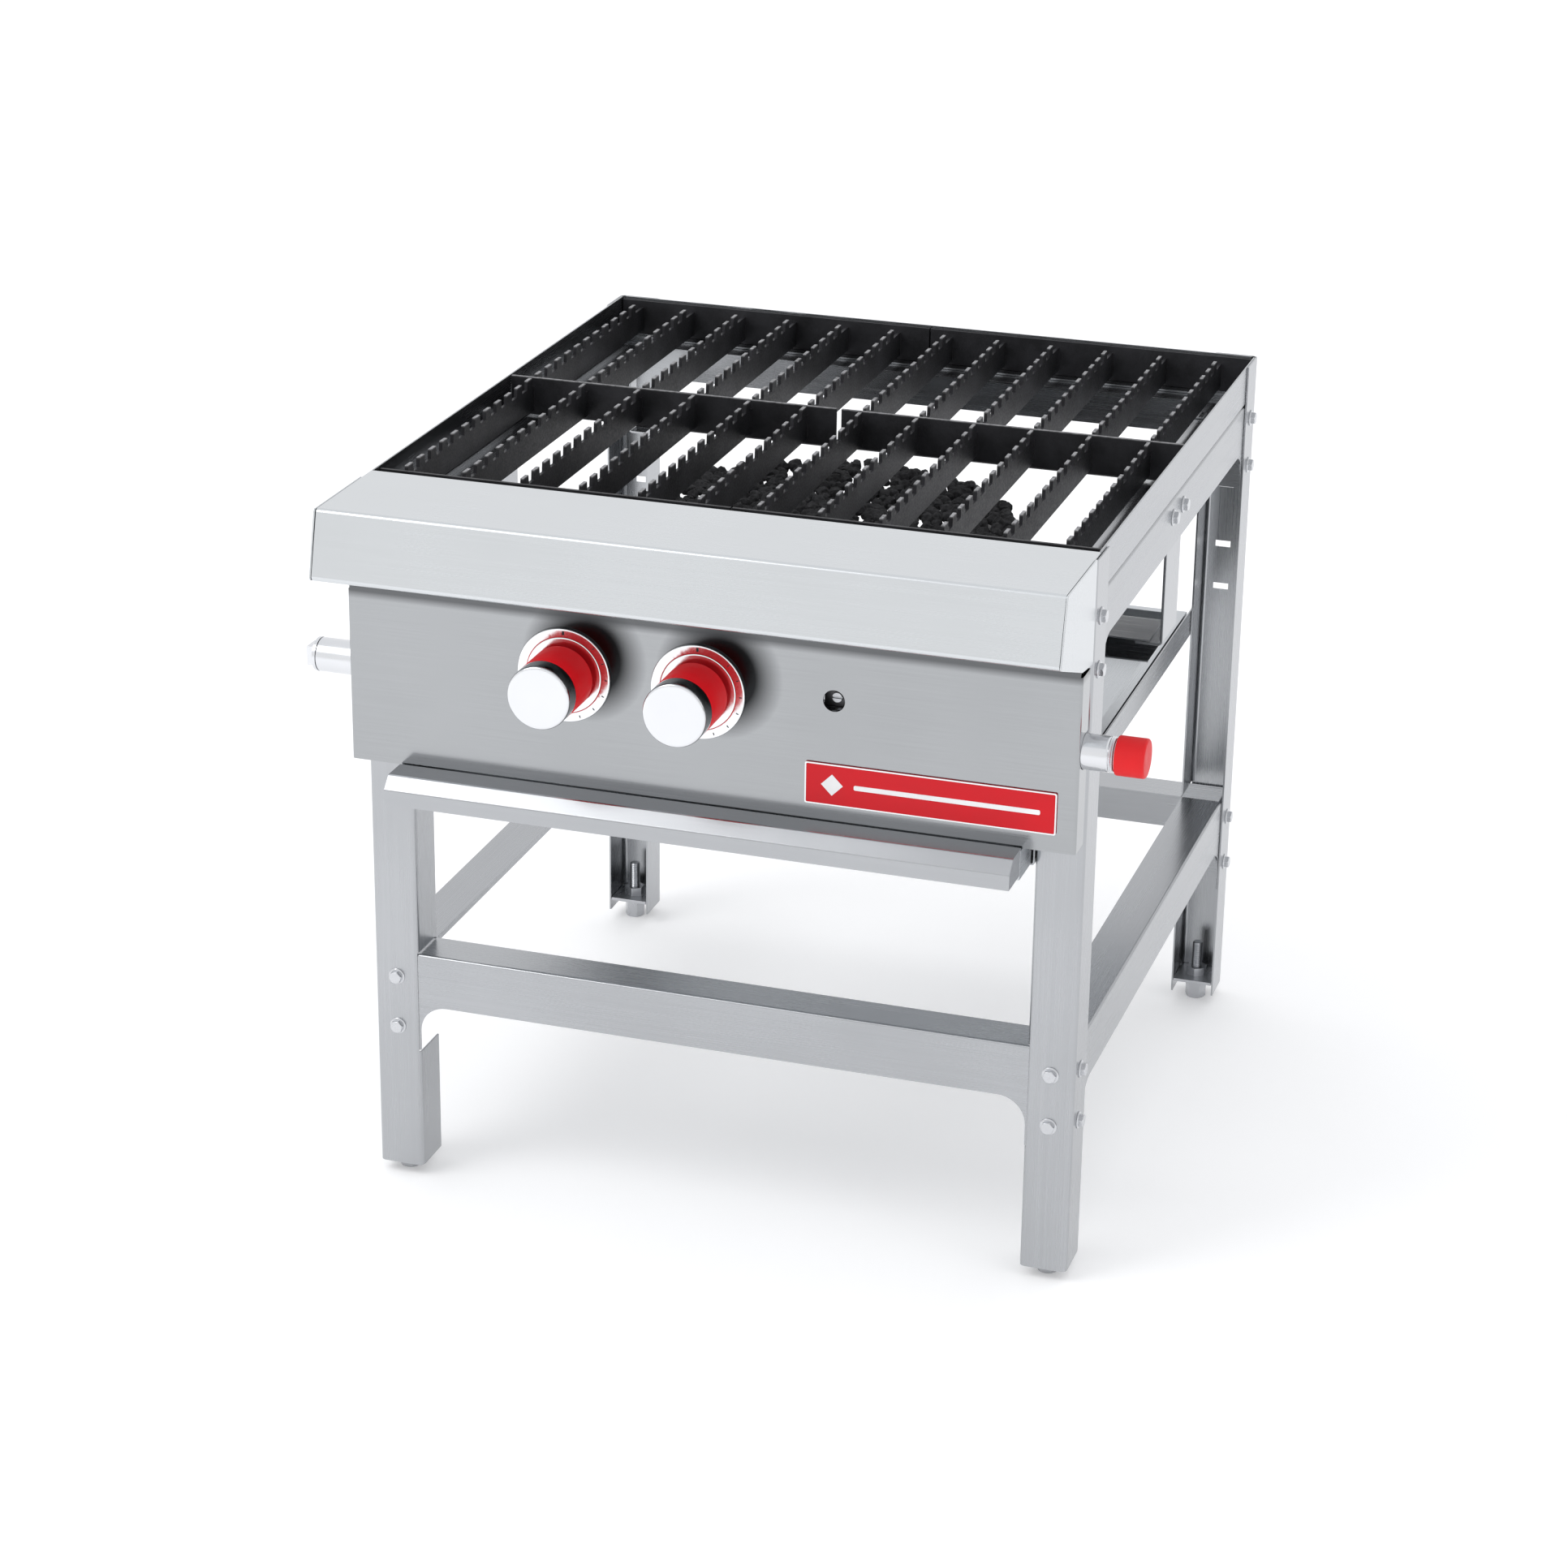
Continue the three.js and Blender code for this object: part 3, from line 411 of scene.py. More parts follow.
MATERIALS = {
    # The three frame steels are one steel brushed along three axes. Their base tones differ as painted shade:
    # pieces running front to back (Y), which face the sides, are painted darkest, and those running across
    # (X) a little darker than the uprights (Z).
    "frame_steel_z": brushed("frame_steel_upright", (0.435, 0.445, 0.46), 0.26, "z", 0.05, 0.03, 0.03),
    "frame_steel_x": brushed("frame_steel_across", (0.42, 0.43, 0.445), 0.26, "x", 0.05, 0.03, 0.03),
    "frame_steel_y": brushed("frame_steel_deep", (0.395, 0.405, 0.42), 0.26, "y", 0.05, 0.03, 0.03),
    "nosing_steel": brushed("nosing_steel", (0.63, 0.65, 0.665), 0.26, "x", 0.02, 0.006, 0.02, 0.03),
    # The panel's base tone is set darker than the nosing's steel as painted shade. It also carries the
    # painted dial shade and the painted shadow under the nosing.
    "panel_steel": panel_with_painted_shade("panel_with_painted_shade", (0.375, 0.385, 0.395), 0.17),
    "handle_steel": brushed("handle_steel", (0.42, 0.43, 0.445), 0.24, "x", 0.02, 0.01, 0.02, 0.04),
    "tray_steel": brushed("tray_steel", (0.52, 0.54, 0.56), 0.30, "y", 0.04, 0.03, 0.04),
    "zinc": plated("zinc", (0.50, 0.51, 0.53), 0.32, 0.05),
    "bolt_steel": plated("bolt_steel", (0.60, 0.61, 0.63), 0.22, 0.03),
    "pipe_steel": plated("pipe_steel", (0.72, 0.73, 0.75), 0.16),
    "bezel_chrome": plated("bezel_chrome", (0.86, 0.87, 0.88), 0.14),
    # The second tone is the skirt's painted reflection of dark surroundings.
    "knob_chrome": knob_cap_painted_skirt("knob_cap_painted_skirt", (0.75, 0.76, 0.78), (0.24, 0.245, 0.25)),
    "knob_red": plastic("knob_red", (0.90, 0.008, 0.016), 0.50, shine=0.12),
    "badge_red": plastic("badge_red", (0.62, 0.008, 0.016), 0.40),
    "badge_white": plastic("badge_white", (0.86, 0.86, 0.87), 0.4),
    "badge_rim": plated("badge_rim", (0.80, 0.81, 0.82), 0.16),
    "cap_red": plastic("cap_red", (0.74, 0.014, 0.018), 0.45),
    "dark_steel": plated("dark_steel", (0.10, 0.10, 0.105), 0.35, 0.05),
    "dial_ink": plastic("dial_ink", (0.03, 0.03, 0.032), 0.5),
    "brass": plated("brass", (0.72, 0.56, 0.28), 0.24, 0.05),
    "pilot_tube_metal": plated("pilot_tube_metal", (0.70, 0.71, 0.72), 0.28, 0.04),
    "burner_iron": iron("burner_iron", (0.10, 0.098, 0.10), 0.55, 0.7),
    "rack_iron": iron("rack_iron", (0.035, 0.034, 0.036), 0.6, 0.5),
    # The grate bars are lighter in patches on their tooth tops.
    "grate_iron": iron(
        "grate_iron", (0.024, 0.024, 0.027), 0.48, 0.5, 500, 0.2, (0.6255, 0.6270, (0.34, 0.34, 0.35, 1)),
    ),
    "lava": rock("lava_rock"),
}

# ---------------------------------------------------------------- mesh helpers


def strip(points, thickness=SHEET, bend=BEND, steps=8):
    """Closed outline of a bent strip: the points are one face, the metal lies to their left."""
    face, back = [], []
    line = [Vector(p) for p in points]
    last = len(line) - 1
    for i, point in enumerate(line):
        before = (line[max(i, 1)] - line[max(i - 1, 0)]).normalized()
        after = (line[min(i + 1, last)] - line[min(i, last - 1)]).normalized()
        normal = Vector((-before.y, before.x))
        if i in (0, last):
            face.append(point)
            back.append(point + normal * thickness)
            continue
        turn = math.atan2(before.x * after.y - before.y * after.x, before.dot(after))
        side = 1 if turn > 0 else -1
        face_radius = bend if side > 0 else bend - thickness
        back_radius = bend - thickness if side > 0 else bend
        start = point - before * face_radius * math.tan(abs(turn) / 2)
        centre = start + normal * side * face_radius
        spoke = -normal * side
        for k in range(steps + 1):
            ray = spoke.copy()
            ray.rotate(Matrix.Rotation(turn * k / steps, 2))
            face.append(centre + ray * face_radius)
            back.append(centre + ray * back_radius)
    return [tuple(p) for p in face + back[::-1]]


def flip(outline, side):
    """The outline mirrored for the left side."""
    return [(side * u, v) for u, v in outline]


ORDER = {"x": lambda u, v, w: (w, u, v), "y": lambda u, v, w: (u, w, v), "z": lambda u, v, w: (u, v, w)}


def prism(outline, axis, low, high):
    """Mesh of an outline pushed along an axis. Millimetres in, metres out."""
    put = ORDER[axis]
    bm = bmesh.new()
    ends = []
    for w in (low, high):
        ends.append([bm.verts.new([c * MM for c in put(u, v, w)]) for u, v in outline])
    bm.faces.new(ends[0])
    bm.faces.new(ends[1])
    count = len(outline)
    for i in range(count):
        j = (i + 1) % count
        bm.faces.new((ends[0][i], ends[0][j], ends[1][j], ends[1][i]))
    bmesh.ops.recalc_face_normals(bm, faces=bm.faces)
    return to_mesh(bm)


def to_mesh(bm):
    """A mesh from the working mesh, which is then freed."""
    mesh = bpy.data.meshes.new("part")
    bm.to_mesh(mesh)
    bm.free()
    return mesh


def block(x0, x1, y0, y1, z0, z1):
    """A box; the two X values may come in either order."""
    left, right = sorted((x0, x1))
    return prism([(left, y0), (right, y0), (right, y1), (left, y1)], "z", z0, z1)


def turned(profile, segments=96):
    """Closed ring from (radius, height) points about Z; points on the axis close it. Metres out."""
    bm = bmesh.new()
    rings = []
    for radius, height in profile:
        if radius < 1e-6:
            rings.append([bm.verts.new((0, 0, height * MM))])
            continue
        ring = []
        for k in range(segments):
            angle = 2 * math.pi * k / segments
            across, up = radius * MM * math.cos(angle), radius * MM * math.sin(angle)
            ring.append(bm.verts.new((across, up, height * MM)))
        rings.append(ring)
    pairs = list(zip(rings, rings[1:]))
    if len(rings[0]) > 1 and len(rings[-1]) > 1:
        pairs.append((rings[-1], rings[0]))
    for a, b in pairs:
        for k in range(segments):
            n = (k + 1) % segments
            if len(a) == 1 and len(b) == 1:
                continue
            if len(a) == 1:
                bm.faces.new((a[0], b[k], b[n]))
            elif len(b) == 1:
                bm.faces.new((a[k], b[0], a[n]))
            else:
                bm.faces.new((a[k], b[k], b[n], a[n]))
    bmesh.ops.recalc_face_normals(bm, faces=bm.faces)
    return to_mesh(bm)


TO_FRONT = Matrix.Rotation(math.pi / 2, 4, "X")
TO_RIGHT = Matrix.Rotation(math.pi / 2, 4, "Y")
TO_LEFT = Matrix.Rotation(-math.pi / 2, 4, "Y")
TO_BACK = Matrix.Rotation(-math.pi / 2, 4, "X")


def moved(mesh, x=0.0, y=0.0, z=0.0, turn=None):
    """The mesh turned and then moved, in millimetres."""
    mesh.transform(Matrix.Translation((x * MM, y * MM, z * MM)) @ (turn or Matrix.Identity(4)))
    return mesh


def combined(meshes):
    """All the meshes as one."""
    bm = bmesh.new()
    for mesh in meshes:
        bm.from_mesh(mesh)
        bpy.data.meshes.remove(mesh)
    return to_mesh(bm)


def evaluated(mesh, make_modifiers):
    holder = bpy.data.objects.new("holder", mesh)
    bpy.context.scene.collection.objects.link(holder)
    make_modifiers(holder)
    graph = bpy.context.evaluated_depsgraph_get()
    result = bpy.data.meshes.new_from_object(holder.evaluated_get(graph))
    bpy.data.objects.remove(holder)
    bpy.data.meshes.remove(mesh)
    return result


def boolean(mesh, other, operation="DIFFERENCE"):
    tool = bpy.data.objects.new("tool", other)
    bpy.context.scene.collection.objects.link(tool)

    def add(holder):
        modifier = holder.modifiers.new("cut", "BOOLEAN")
        modifier.operation = operation
        modifier.solver = "EXACT"
        modifier.object = tool

    result = evaluated(mesh, add)
    bpy.data.objects.remove(tool)
    bpy.data.meshes.remove(other)
    return result


def softened(mesh, width, angle=28, segments=2):
    """Small rounds on the sharp edges, with flat faces kept flat in the shading."""
    bm = bmesh.new()
    bm.from_mesh(mesh)
    bmesh.ops.remove_doubles(bm, verts=bm.verts, dist=2e-6)
    bmesh.ops.dissolve_limit(bm, angle_limit=math.radians(0.5), verts=bm.verts, edges=bm.edges)
    bm.to_mesh(mesh)
    bm.free()

    def add(holder):
        bevel = holder.modifiers.new("edges", "BEVEL")
        bevel.width = width * MM
        bevel.segments = segments
        bevel.limit_method = "ANGLE"
        bevel.angle_limit = math.radians(angle)
        bevel.use_clamp_overlap = True
        bevel.miter_outer = "MITER_ARC"

    result = evaluated(mesh, add) if width else mesh
    for face in result.polygons:
        face.use_smooth = True
    result.set_sharp_from_angle(angle=math.radians(38))

    def weigh(holder):
        weighted = holder.modifiers.new("normals", "WEIGHTED_NORMAL")
        weighted.keep_sharp = True

    return evaluated(result, weigh)


def show(name, mesh, body, material, replaced=(), bevel=0.35, angle=28):
    """Makes a visible piece that rides on a body."""
    shaped = softened(mesh, bevel, angle)
    shaped.materials.clear()
    shaped.materials.append(MATERIALS[material])
    piece = bpy.data.objects.new(name, shaped)
    bpy.context.scene.collection.objects.link(piece)
    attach(piece, body)
    if replaced:
        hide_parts(*replaced)
    return piece


def stand_in(node, mesh, material=None, bevel=0.35, angle=28):
    """Shows a finer mesh in place of a CAD node."""
    slot = SLOT_OF[node]
    return show("v_" + node, mesh, NODES[node]["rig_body"], material or slot, (node,), bevel, angle)


def refined(node, material=None, bevel=0.35, angle=28):
    """The CAD node's own shape with rounded edges."""
    return stand_in(node, NODES[node].data.copy(), material, bevel, angle)


# ---------------------------------------------------------------- frame: legs, rails, bands

def make_leg(node, side, face, inward, top):
    """An upright channel, open towards the middle of the grill, notched where the rails pass."""
    opening = face + inward * LEG_SIZE
    path = [(LEG_INNER, opening), (LEG_INNER, face), (HALF_WIDTH, face), (HALF_WIDTH, opening)]
    if inward < 0:
        path.reverse()
    mesh = prism(flip(strip(path), side), "z", LEG_LOW, top)
    for low, high in ((LOWER["tab"] - 2, LOWER["high"] + 2), (UPPER_SIDE["tab"] - 2, LEG_NOTCH_TOP)):
        start = face + inward * SHEET
        y0, y1 = sorted((start, opening + inward))
        inner, outer = side * (LEG_INNER - 1), side * (LEG_INNER + BEND + 0.5)
        mesh = boolean(mesh, block(inner, outer, y0, y1, low, high))
    if inward < 0:
        for height in SLOT_HEIGHTS:
            low, high = height - SLOT_HALF_HEIGHT, height + SLOT_HALF_HEIGHT
            near, far = (side * end for end in SLOT_ENDS)
            slot = [(near, low), (far, low), (far, high), (near, high)]
            mesh = boolean(mesh, prism(slot, "y", face - 4, face + 2))
    stand_in(node, mesh, "frame_steel_z", 0.3)


for word, side in SIDES:
    make_leg(f"leg_front_{word}", side, FRONT_LEG_FACE, 1, FRONT_LEG_TOP)
    make_leg(f"leg_rear_{word}", side, REAR_LEG_FACE, -1, REAR_LEG_TOP)


def rail_waste(start_leg, end_leg, rail):
    """The outline cut away under a rail, between its two end tabs."""
    drop = min(TAB_CURVE, rail["low"] - rail["tab"])
    steps = 10
    points = [(start_leg, rail["tab"] - 5)]
    for k in range(steps, -1, -1):
        angle = math.pi / 2 * k / steps
        along, down = drop * (1 - math.cos(angle)), drop * (1 - math.sin(angle))
        points.append((start_leg + along, rail["low"] - down))
    points.sort(key=lambda p: (p[0], p[1]))
    mirrored = [(start_leg + end_leg - u, v) for u, v in reversed(points)]
    return points + mirrored


def cross_rail(node, face, inward, rail):
    """A folded rail from side to side, with a bolting tab at each end."""
    tip = face + inward * RAIL_DEPTH
    path = [(tip, rail["high"]), (face, rail["high"]), (face, rail["tab"])]
    if inward < 0:
        path.reverse()
    mesh = prism(strip(path, bend=FRAME_BEND, steps=6), "x", -RAIL_HALF_X, RAIL_HALF_X)
    y0, y1 = sorted((face - inward * 3, tip + inward))
    mesh = boolean(mesh, prism(rail_waste(-LEG_INNER, LEG_INNER, rail), "y", y0, y1))
    y0, y1 = sorted((face + inward * 2.7, tip + inward))
    for s in (-1, 1):
        mesh = boolean(mesh, block(s * FLANGE_HALF_X, s * 310, y0, y1, rail["high"] - 4, rail["high"] + 2))
    if rail["flange"]:
        y0, y1 = sorted((face + inward * 0.8, tip))
        half = FLANGE_HALF_X - FLANGE_INSET
        mesh = boolean(mesh, block(-half, half, y0, y1, rail["low"], rail["low"] + SHEET), "UNION")
    stand_in(node, mesh, "frame_steel_x", 0.3)


def side_rail(node, side, rail):
    """A folded rail from front to rear, with a bolting tab at each end."""
    inner = SIDE_FACE - RAIL_DEPTH
    path = [(SIDE_FACE, rail["tab"]), (SIDE_FACE, rail["high"]), (inner, rail["high"])]
    mesh = prism(flip(strip(path, bend=FRAME_BEND, steps=6), side), "y", RAIL_FRONT_END, RAIL_REAR_END)
    waste = rail_waste(FRONT_LEG_FACE + LEG_SIZE, REAR_LEG_FACE - LEG_SIZE, rail)
    mesh = boolean(mesh, prism(waste, "x", *sorted((side * 296, side * 306))))
    for y0, y1 in ((-255, FLANGE_FRONT_END), (FLANGE_REAR_END, 360)):
        notch = (side * (inner - 1), side * (SIDE_FACE - 2.7), y0, y1, rail["high"] - 4, rail["high"] + 2)
        mesh = boolean(mesh, block(*notch))
    stand_in(node, mesh, "frame_steel_y", 0.3)


cross_rail("lower_rail_front", FRONT_FACE, 1, LOWER)
cross_rail("lower_rail_rear", REAR_FACE, -1, LOWER)
cross_rail("upper_rail_front", FRONT_FACE, 1, UPPER_FRONT)
cross_rail("upper_rail_rear", REAR_FACE, -1, UPPER_REAR)
for word, side in SIDES:
    side_rail(f"lower_rail_{word}", side, LOWER)
    side_rail(f"upper_rail_{word}", side, UPPER_SIDE)
for word, side in SIDES:
    inner = SIDE_FACE - BAND_FOOT
    path = [(inner, BAND_LOW), (SIDE_FACE, BAND_LOW), (SIDE_FACE, BAND_HIGH)]
    band = prism(flip(strip(path, bend=2.4, steps=6), side), "y", -233, RAIL_REAR_END)
    for y0, y1 in ((-240, FLANGE_FRONT_END), (FLANGE_REAR_END, 360)):
        notch = (side * (inner - 1), side * (SIDE_FACE - 2.6), y0, y1, BAND_LOW - 1, BAND_LOW + 4)
        band = boolean(band, block(*notch))
    stand_in(f"top_band_{word}", band, "frame_steel_y", 0.3)
path = [(REAR_FACE - BAND_FOOT, BAND_LOW), (REAR_FACE, BAND_LOW), (REAR_FACE, BAND_HIGH)]
band = prism(strip(path, bend=2.4, steps=6), "x", -RAIL_HALF_X, RAIL_HALF_X)
for s in (-1, 1):
    y0, y1 = REAR_FACE - BAND_FOOT - 1, REAR_FACE - 2.6
    band = boolean(band, block(s * FLANGE_HALF_X, s * HALF_WIDTH, y0, y1, BAND_LOW - 1, BAND_LOW + 4))
stand_in("top_band_rear", band, "frame_steel_x", 0.3)

# ---------------------------------------------------------------- burner carrier, runners, feet

for word, side in SIDES:
    strap = prism(flip(strip(STRAP_PATH, STRAP_THICK, 4), side), "y", *STRAP_REACH)
    stand_in(f"strap_{word}", strap, "frame_steel_z", 0.4)
    hook = prism(flip(strip(HOOK_PATH, 2, 3), side), "y", *HOOK_REACH)
    stand_in(f"rack_hanger_{word}", hook, "frame_steel_z", 0.4)
    runner = prism(flip(strip(RUNNER_PATH, bend=2.5), side), "y", *RUNNER_REACH)
    stand_in(f"tray_runner_{word}", runner, "frame_steel_y", 0.3)
carrier = prism(strip(CARRIER_PATH, bend=3), "x", -CARRIER_HALF_X, CARRIER_HALF_X)
stand_in("burner_support", carrier, "frame_steel_x", 0.3)


def hexagon(flats, start=0.0):
    """Outline of a hexagon by its width across flats."""
    radius = flats / math.sqrt(3)
    angles = [k * math.pi / 3 + start for k in range(6)]
    return [(radius * math.cos(angle), radius * math.sin(angle)) for angle in angles]


def foot_mesh():
    """A hexagonal foot with a threaded stud."""
    foot = prism(hexagon(FOOT_FLATS), "z", 0, FOOT_HIGH)
    chamfer = turned([(0, 0), (8.3, 0), (10.4, 1.3), (10.4, 17.7), (8.3, FOOT_HIGH), (0, FOOT_HIGH)], 48)
    foot = boolean(foot, chamfer, "INTERSECT")
    thread = [(0, FOOT_HIGH - 0.5), (4.5, FOOT_HIGH - 0.5)]
    z = float(FOOT_HIGH)
    while z < THREAD_TOP:
        thread += [(THREAD_ROOT, z), (THREAD_CREST, z + THREAD_PITCH / 2)]
        z += THREAD_PITCH
    thread += [(4.3, 55.6), (3.6, 56), (0, 56)]
    return boolean(foot, turned(thread, 32), "UNION")


for end, foot_y in FOOT_Y.items():
    for word, side in SIDES:
        refined(f"foot_bracket_{end}_{word}", "zinc", 0.4)
        foot = moved(foot_mesh(), side * FOOT_X, foot_y)
        stand_in(f"levelling_foot_{end}_{word}", foot, "zinc", 0.0)

# ---------------------------------------------------------------- nosing and control panel

nosing = prism(strip(NOSING_PATH, SHEET, 4, 10), "x", -SIDE_FACE, SIDE_FACE)
nosing = boolean(nosing, block(-262, 262, -235.5, -234, 593.1, 626.6), "UNION")
stand_in("nosing", nosing, "nosing_steel", 0.3)
for word, side in SIDES:
    edge = sorted((side * HALF_WIDTH, side * (HALF_WIDTH - SHEET)))
    stand_in(f"nosing_end_cap_{word}", prism(END_CAP, "x", *edge), "nosing_steel", 0.5)

path = [(-HALF_WIDTH, -260), (-HALF_WIDTH, PANEL_FACE), (HALF_WIDTH, PANEL_FACE), (HALF_WIDTH, -260)]
panel = prism(strip(path, SHEET, 2.6, 8), "z", PANEL_LOW, PANEL_HIGH)
for low_y, high_y, low_z, high_z, half in (
    (PANEL_FACE, PANEL_INNER, PANEL_HIGH - 0.5, PANEL_TOP, SIDE_FACE),
    (-283.4, -270, PANEL_LOW, PANEL_LOW + SHEET, 303),
    (-283.4, -252.6, PANEL_TOP - SHEET, PANEL_TOP, SIDE_FACE),
    (-254.1, -252.6, 575, PANEL_TOP - 0.6, SIDE_FACE),
):
    panel = boolean(panel, block(-half, half, low_y, high_y, low_z, high_z), "UNION")


def disc(u, v, radius, count=48):
    """Outline of a circle."""
    angles = [2 * math.pi * k / count for k in range(count)]
    return [(u + radius * math.cos(angle), v + radius * math.sin(angle)) for angle in angles]


for side in (-1, 1):
    x0, x1 = sorted((side * 303, side * 306))
    panel = boolean(panel, prism(disc(PIPE_Y, PIPE_Z, PIPE_HOLE), "x", x0, x1))
    panel = boolean(panel, block(x0, x1, PIPE_Y, -259, PIPE_Z - PIPE_HOLE, PIPE_Z + PIPE_HOLE))
for x in CONTROL_X:
    panel = boolean(panel, prism(disc(x, CONTROL_Z, 6, 32), "y", -286, -280))
panel = boolean(panel, prism(disc(*PILOT, 9, 48), "y", -286, -280))
stand_in("control_panel", panel, "panel_steel", 0.25)


def rounded_box(x0, x1, z0, z1, radius, count=6):
    """Outline of a box with round corners."""
    points = []
    for cx, cz, start in ((x1, z1, 0), (x0, z1, 1), (x0, z0, 2), (x1, z0, 3)):
        sx = cx - radius if start in (0, 3) else cx + radius
        sz = cz - radius if start in (0, 1) else cz + radius
        for k in range(count + 1):
            angle = math.pi / 2 * (start + k / count)
            points.append((sx + radius * math.cos(angle), sz + radius * math.sin(angle)))
    return points


badge = prism(rounded_box(*BADGE_BOX, 1.5), "y", -285.6, -284.3)
stand_in("badge_plate", badge, "badge_red", 0.3)
rim = prism(rounded_box(*BADGE_BOX, 1.5), "y", -286.0, -285.4)
rim = boolean(rim, prism(rounded_box(*BADGE_WINDOW, 1.0), "y", -287, -285))
show("badge_rim", rim, "frame", "badge_rim", (), 0.15)
corners = [(BADGE_MARK - DIAMOND_REACH, BADGE_MIDDLE), (BADGE_MARK, BADGE_MIDDLE - DIAMOND_REACH)]
corners += [(BADGE_MARK + DIAMOND_REACH, BADGE_MIDDLE), (BADGE_MARK, BADGE_MIDDLE + DIAMOND_REACH)]
diamond = prism(corners, "y", -285.9, -285.5)
line = rounded_box(BADGE_MARK + 18, 276, BADGE_MIDDLE - 2, BADGE_MIDDLE + 2, 1.2)
bar = prism(line, "y", -285.9, -285.5)
show("badge_motif", combined([diamond, bar]), "frame", "badge_white", (), 0.0)

# ---------------------------------------------------------------- knobs, dials, taps

BEZEL = (
    (20, 0.3), (20, 2.4), (30.5, 2.4), (31.5, 2.0), (32.6, 2.6), (37.8, 3.0), (39.0, 2.7), (39.5, 2.0),
    (39.5, 0.3),
)
SLEEVE = ((19.3, 7.3), (19.3, 43), (25.7, 43), (26.3, 42.7), (26.5, 42), (26.5, 8), (26.0, 7.3))
KNOB = (
    (0, 59), (23.6, 59), (25.0, 58.75), (25.9, 58.1), (26.3, 57.2), (26.4, 56.2), (26.4, 43.7), (26.1, 43.3),
    (19, 43.3), (19, 8), (3.05, 8), (3.05, 27), (0, 27),
)
TICK_STEP = 22.5


def on_panel(mesh, x):
    """The mesh, modelled face up, set on the panel at a knob's place."""
    return moved(mesh, x, PANEL_FACE, CONTROL_Z, TO_FRONT)


def dial_marks():
    """A pointer line and plain ticks round the dial."""
    ink = [block(-0.9, 0.9, 34.2, 37.4, 2.55, 3.15)]
    for k in range(1, 9):
        mark = block(-0.35, 0.35, 35.0, 37.2, 2.6, 3.12)
        mark.transform(Matrix.Rotation(-math.radians(TICK_STEP + TICK_STEP * k), 4, "Z"))
        ink.append(mark)
    return combined(ink)


for (word, _), x in zip(SIDES, CONTROL_X):
    stand_in(f"knob_bezel_{word}", on_panel(turned(BEZEL, 128), x), "bezel_chrome", 0.0)
    show(f"dial_marks_{word}", on_panel(dial_marks(), x), "frame", "dial_ink", (), 0.0)
    stand_in(f"knob_red_ring_{word}", on_panel(turned(SLEEVE, 128), x), "knob_red", 0.0)
    stand_in(f"knob_body_{word}", on_panel(turned(KNOB, 128), x), "knob_chrome", 0.0)
    refined(f"valve_stem_{word}", "brass", 0.3)
    refined(f"valve_body_{word}", "brass", 0.8)

refined("pilot_valve", "dark_steel", 0.3)
refined("pilot_screw", "zinc", 0.3)

# ---------------------------------------------------------------- gas pipe and its ends

PIPE_LEFT = -337.0
PIPE_LENGTH = 683
PIPE_THREADS = 12
PIPE_THREAD_PITCH = 1.6
CAP_LEFT = 331.0
CAP_CUP = (
    (14.4, 0), (14.4, 15.6), (0, 15.6), (0, 24), (13.6, 24), (14.8, 23.7), (15.5, 23), (15.8, 22),
    (15.8, 1.2), (15.4, 0.3), (14.9, 0),
)

pipe = [(11, 0), (11, PIPE_LENGTH), (13.4, PIPE_LENGTH), (PIPE_RADIUS, PIPE_LENGTH - 0.8)]
for k in range(PIPE_THREADS):
    pipe.append((14.2, 681 - PIPE_THREAD_PITCH * k))
    pipe.append((13.5, 680.2 - PIPE_THREAD_PITCH * k))
pipe += [(PIPE_RADIUS, 661), (PIPE_RADIUS, 1), (13.6, 0)]
stand_in("gas_manifold", moved(turned(pipe, 64), PIPE_LEFT, PIPE_Y, PIPE_Z, TO_RIGHT), "pipe_steel", 0.0)
refined("manifold_plug", "pipe_steel", 0.8)
cap = moved(turned(CAP_CUP, 64), CAP_LEFT, PIPE_Y, PIPE_Z, TO_RIGHT)
stand_in("inlet_cap", cap, "cap_red", 0.0)

# ---------------------------------------------------------------- burners, rack and rock

for node in ("burner_left", "burner_right"):
    refined(node, "burner_iron", 0.0)
refined("pilot_tube", "pilot_tube_metal", 0.0)
refined("rock_rack", "rack_iron", 0.0)


def make_rock(seed, centre, size):
    """One lump of pumice-like rock: a dented, pitted ball."""
    bm = bmesh.new()
    bmesh.ops.create_icosphere(bm, subdivisions=2, radius=1.0)
    offset = Vector((seed * 3.17, seed * 1.31, seed * 2.23))
    pick = random.Random(seed)
    stretch = Vector((pick.uniform(0.8, 1.25), pick.uniform(0.8, 1.25), pick.uniform(0.65, 1.0)))
    heading = Matrix.Rotation(pick.uniform(0, 6.28), 3, "Z")
    spin = heading @ Matrix.Rotation(pick.uniform(-0.6, 0.6), 3, "X")
    for vert in bm.verts:
        way = vert.co.normalized()
        swell = 1 + 0.30 * noise.noise(way * 1.4 + offset) + 0.14 * noise.noise(way * 3.6 + offset)
        swell -= 0.10 * abs(noise.noise(way * 8.0 + offset))
        point = Vector(tuple(a * b for a, b in zip(way * swell, stretch)))
        vert.co = (spin @ point) * size * MM + Vector(centre) * MM
    return to_mesh(bm)


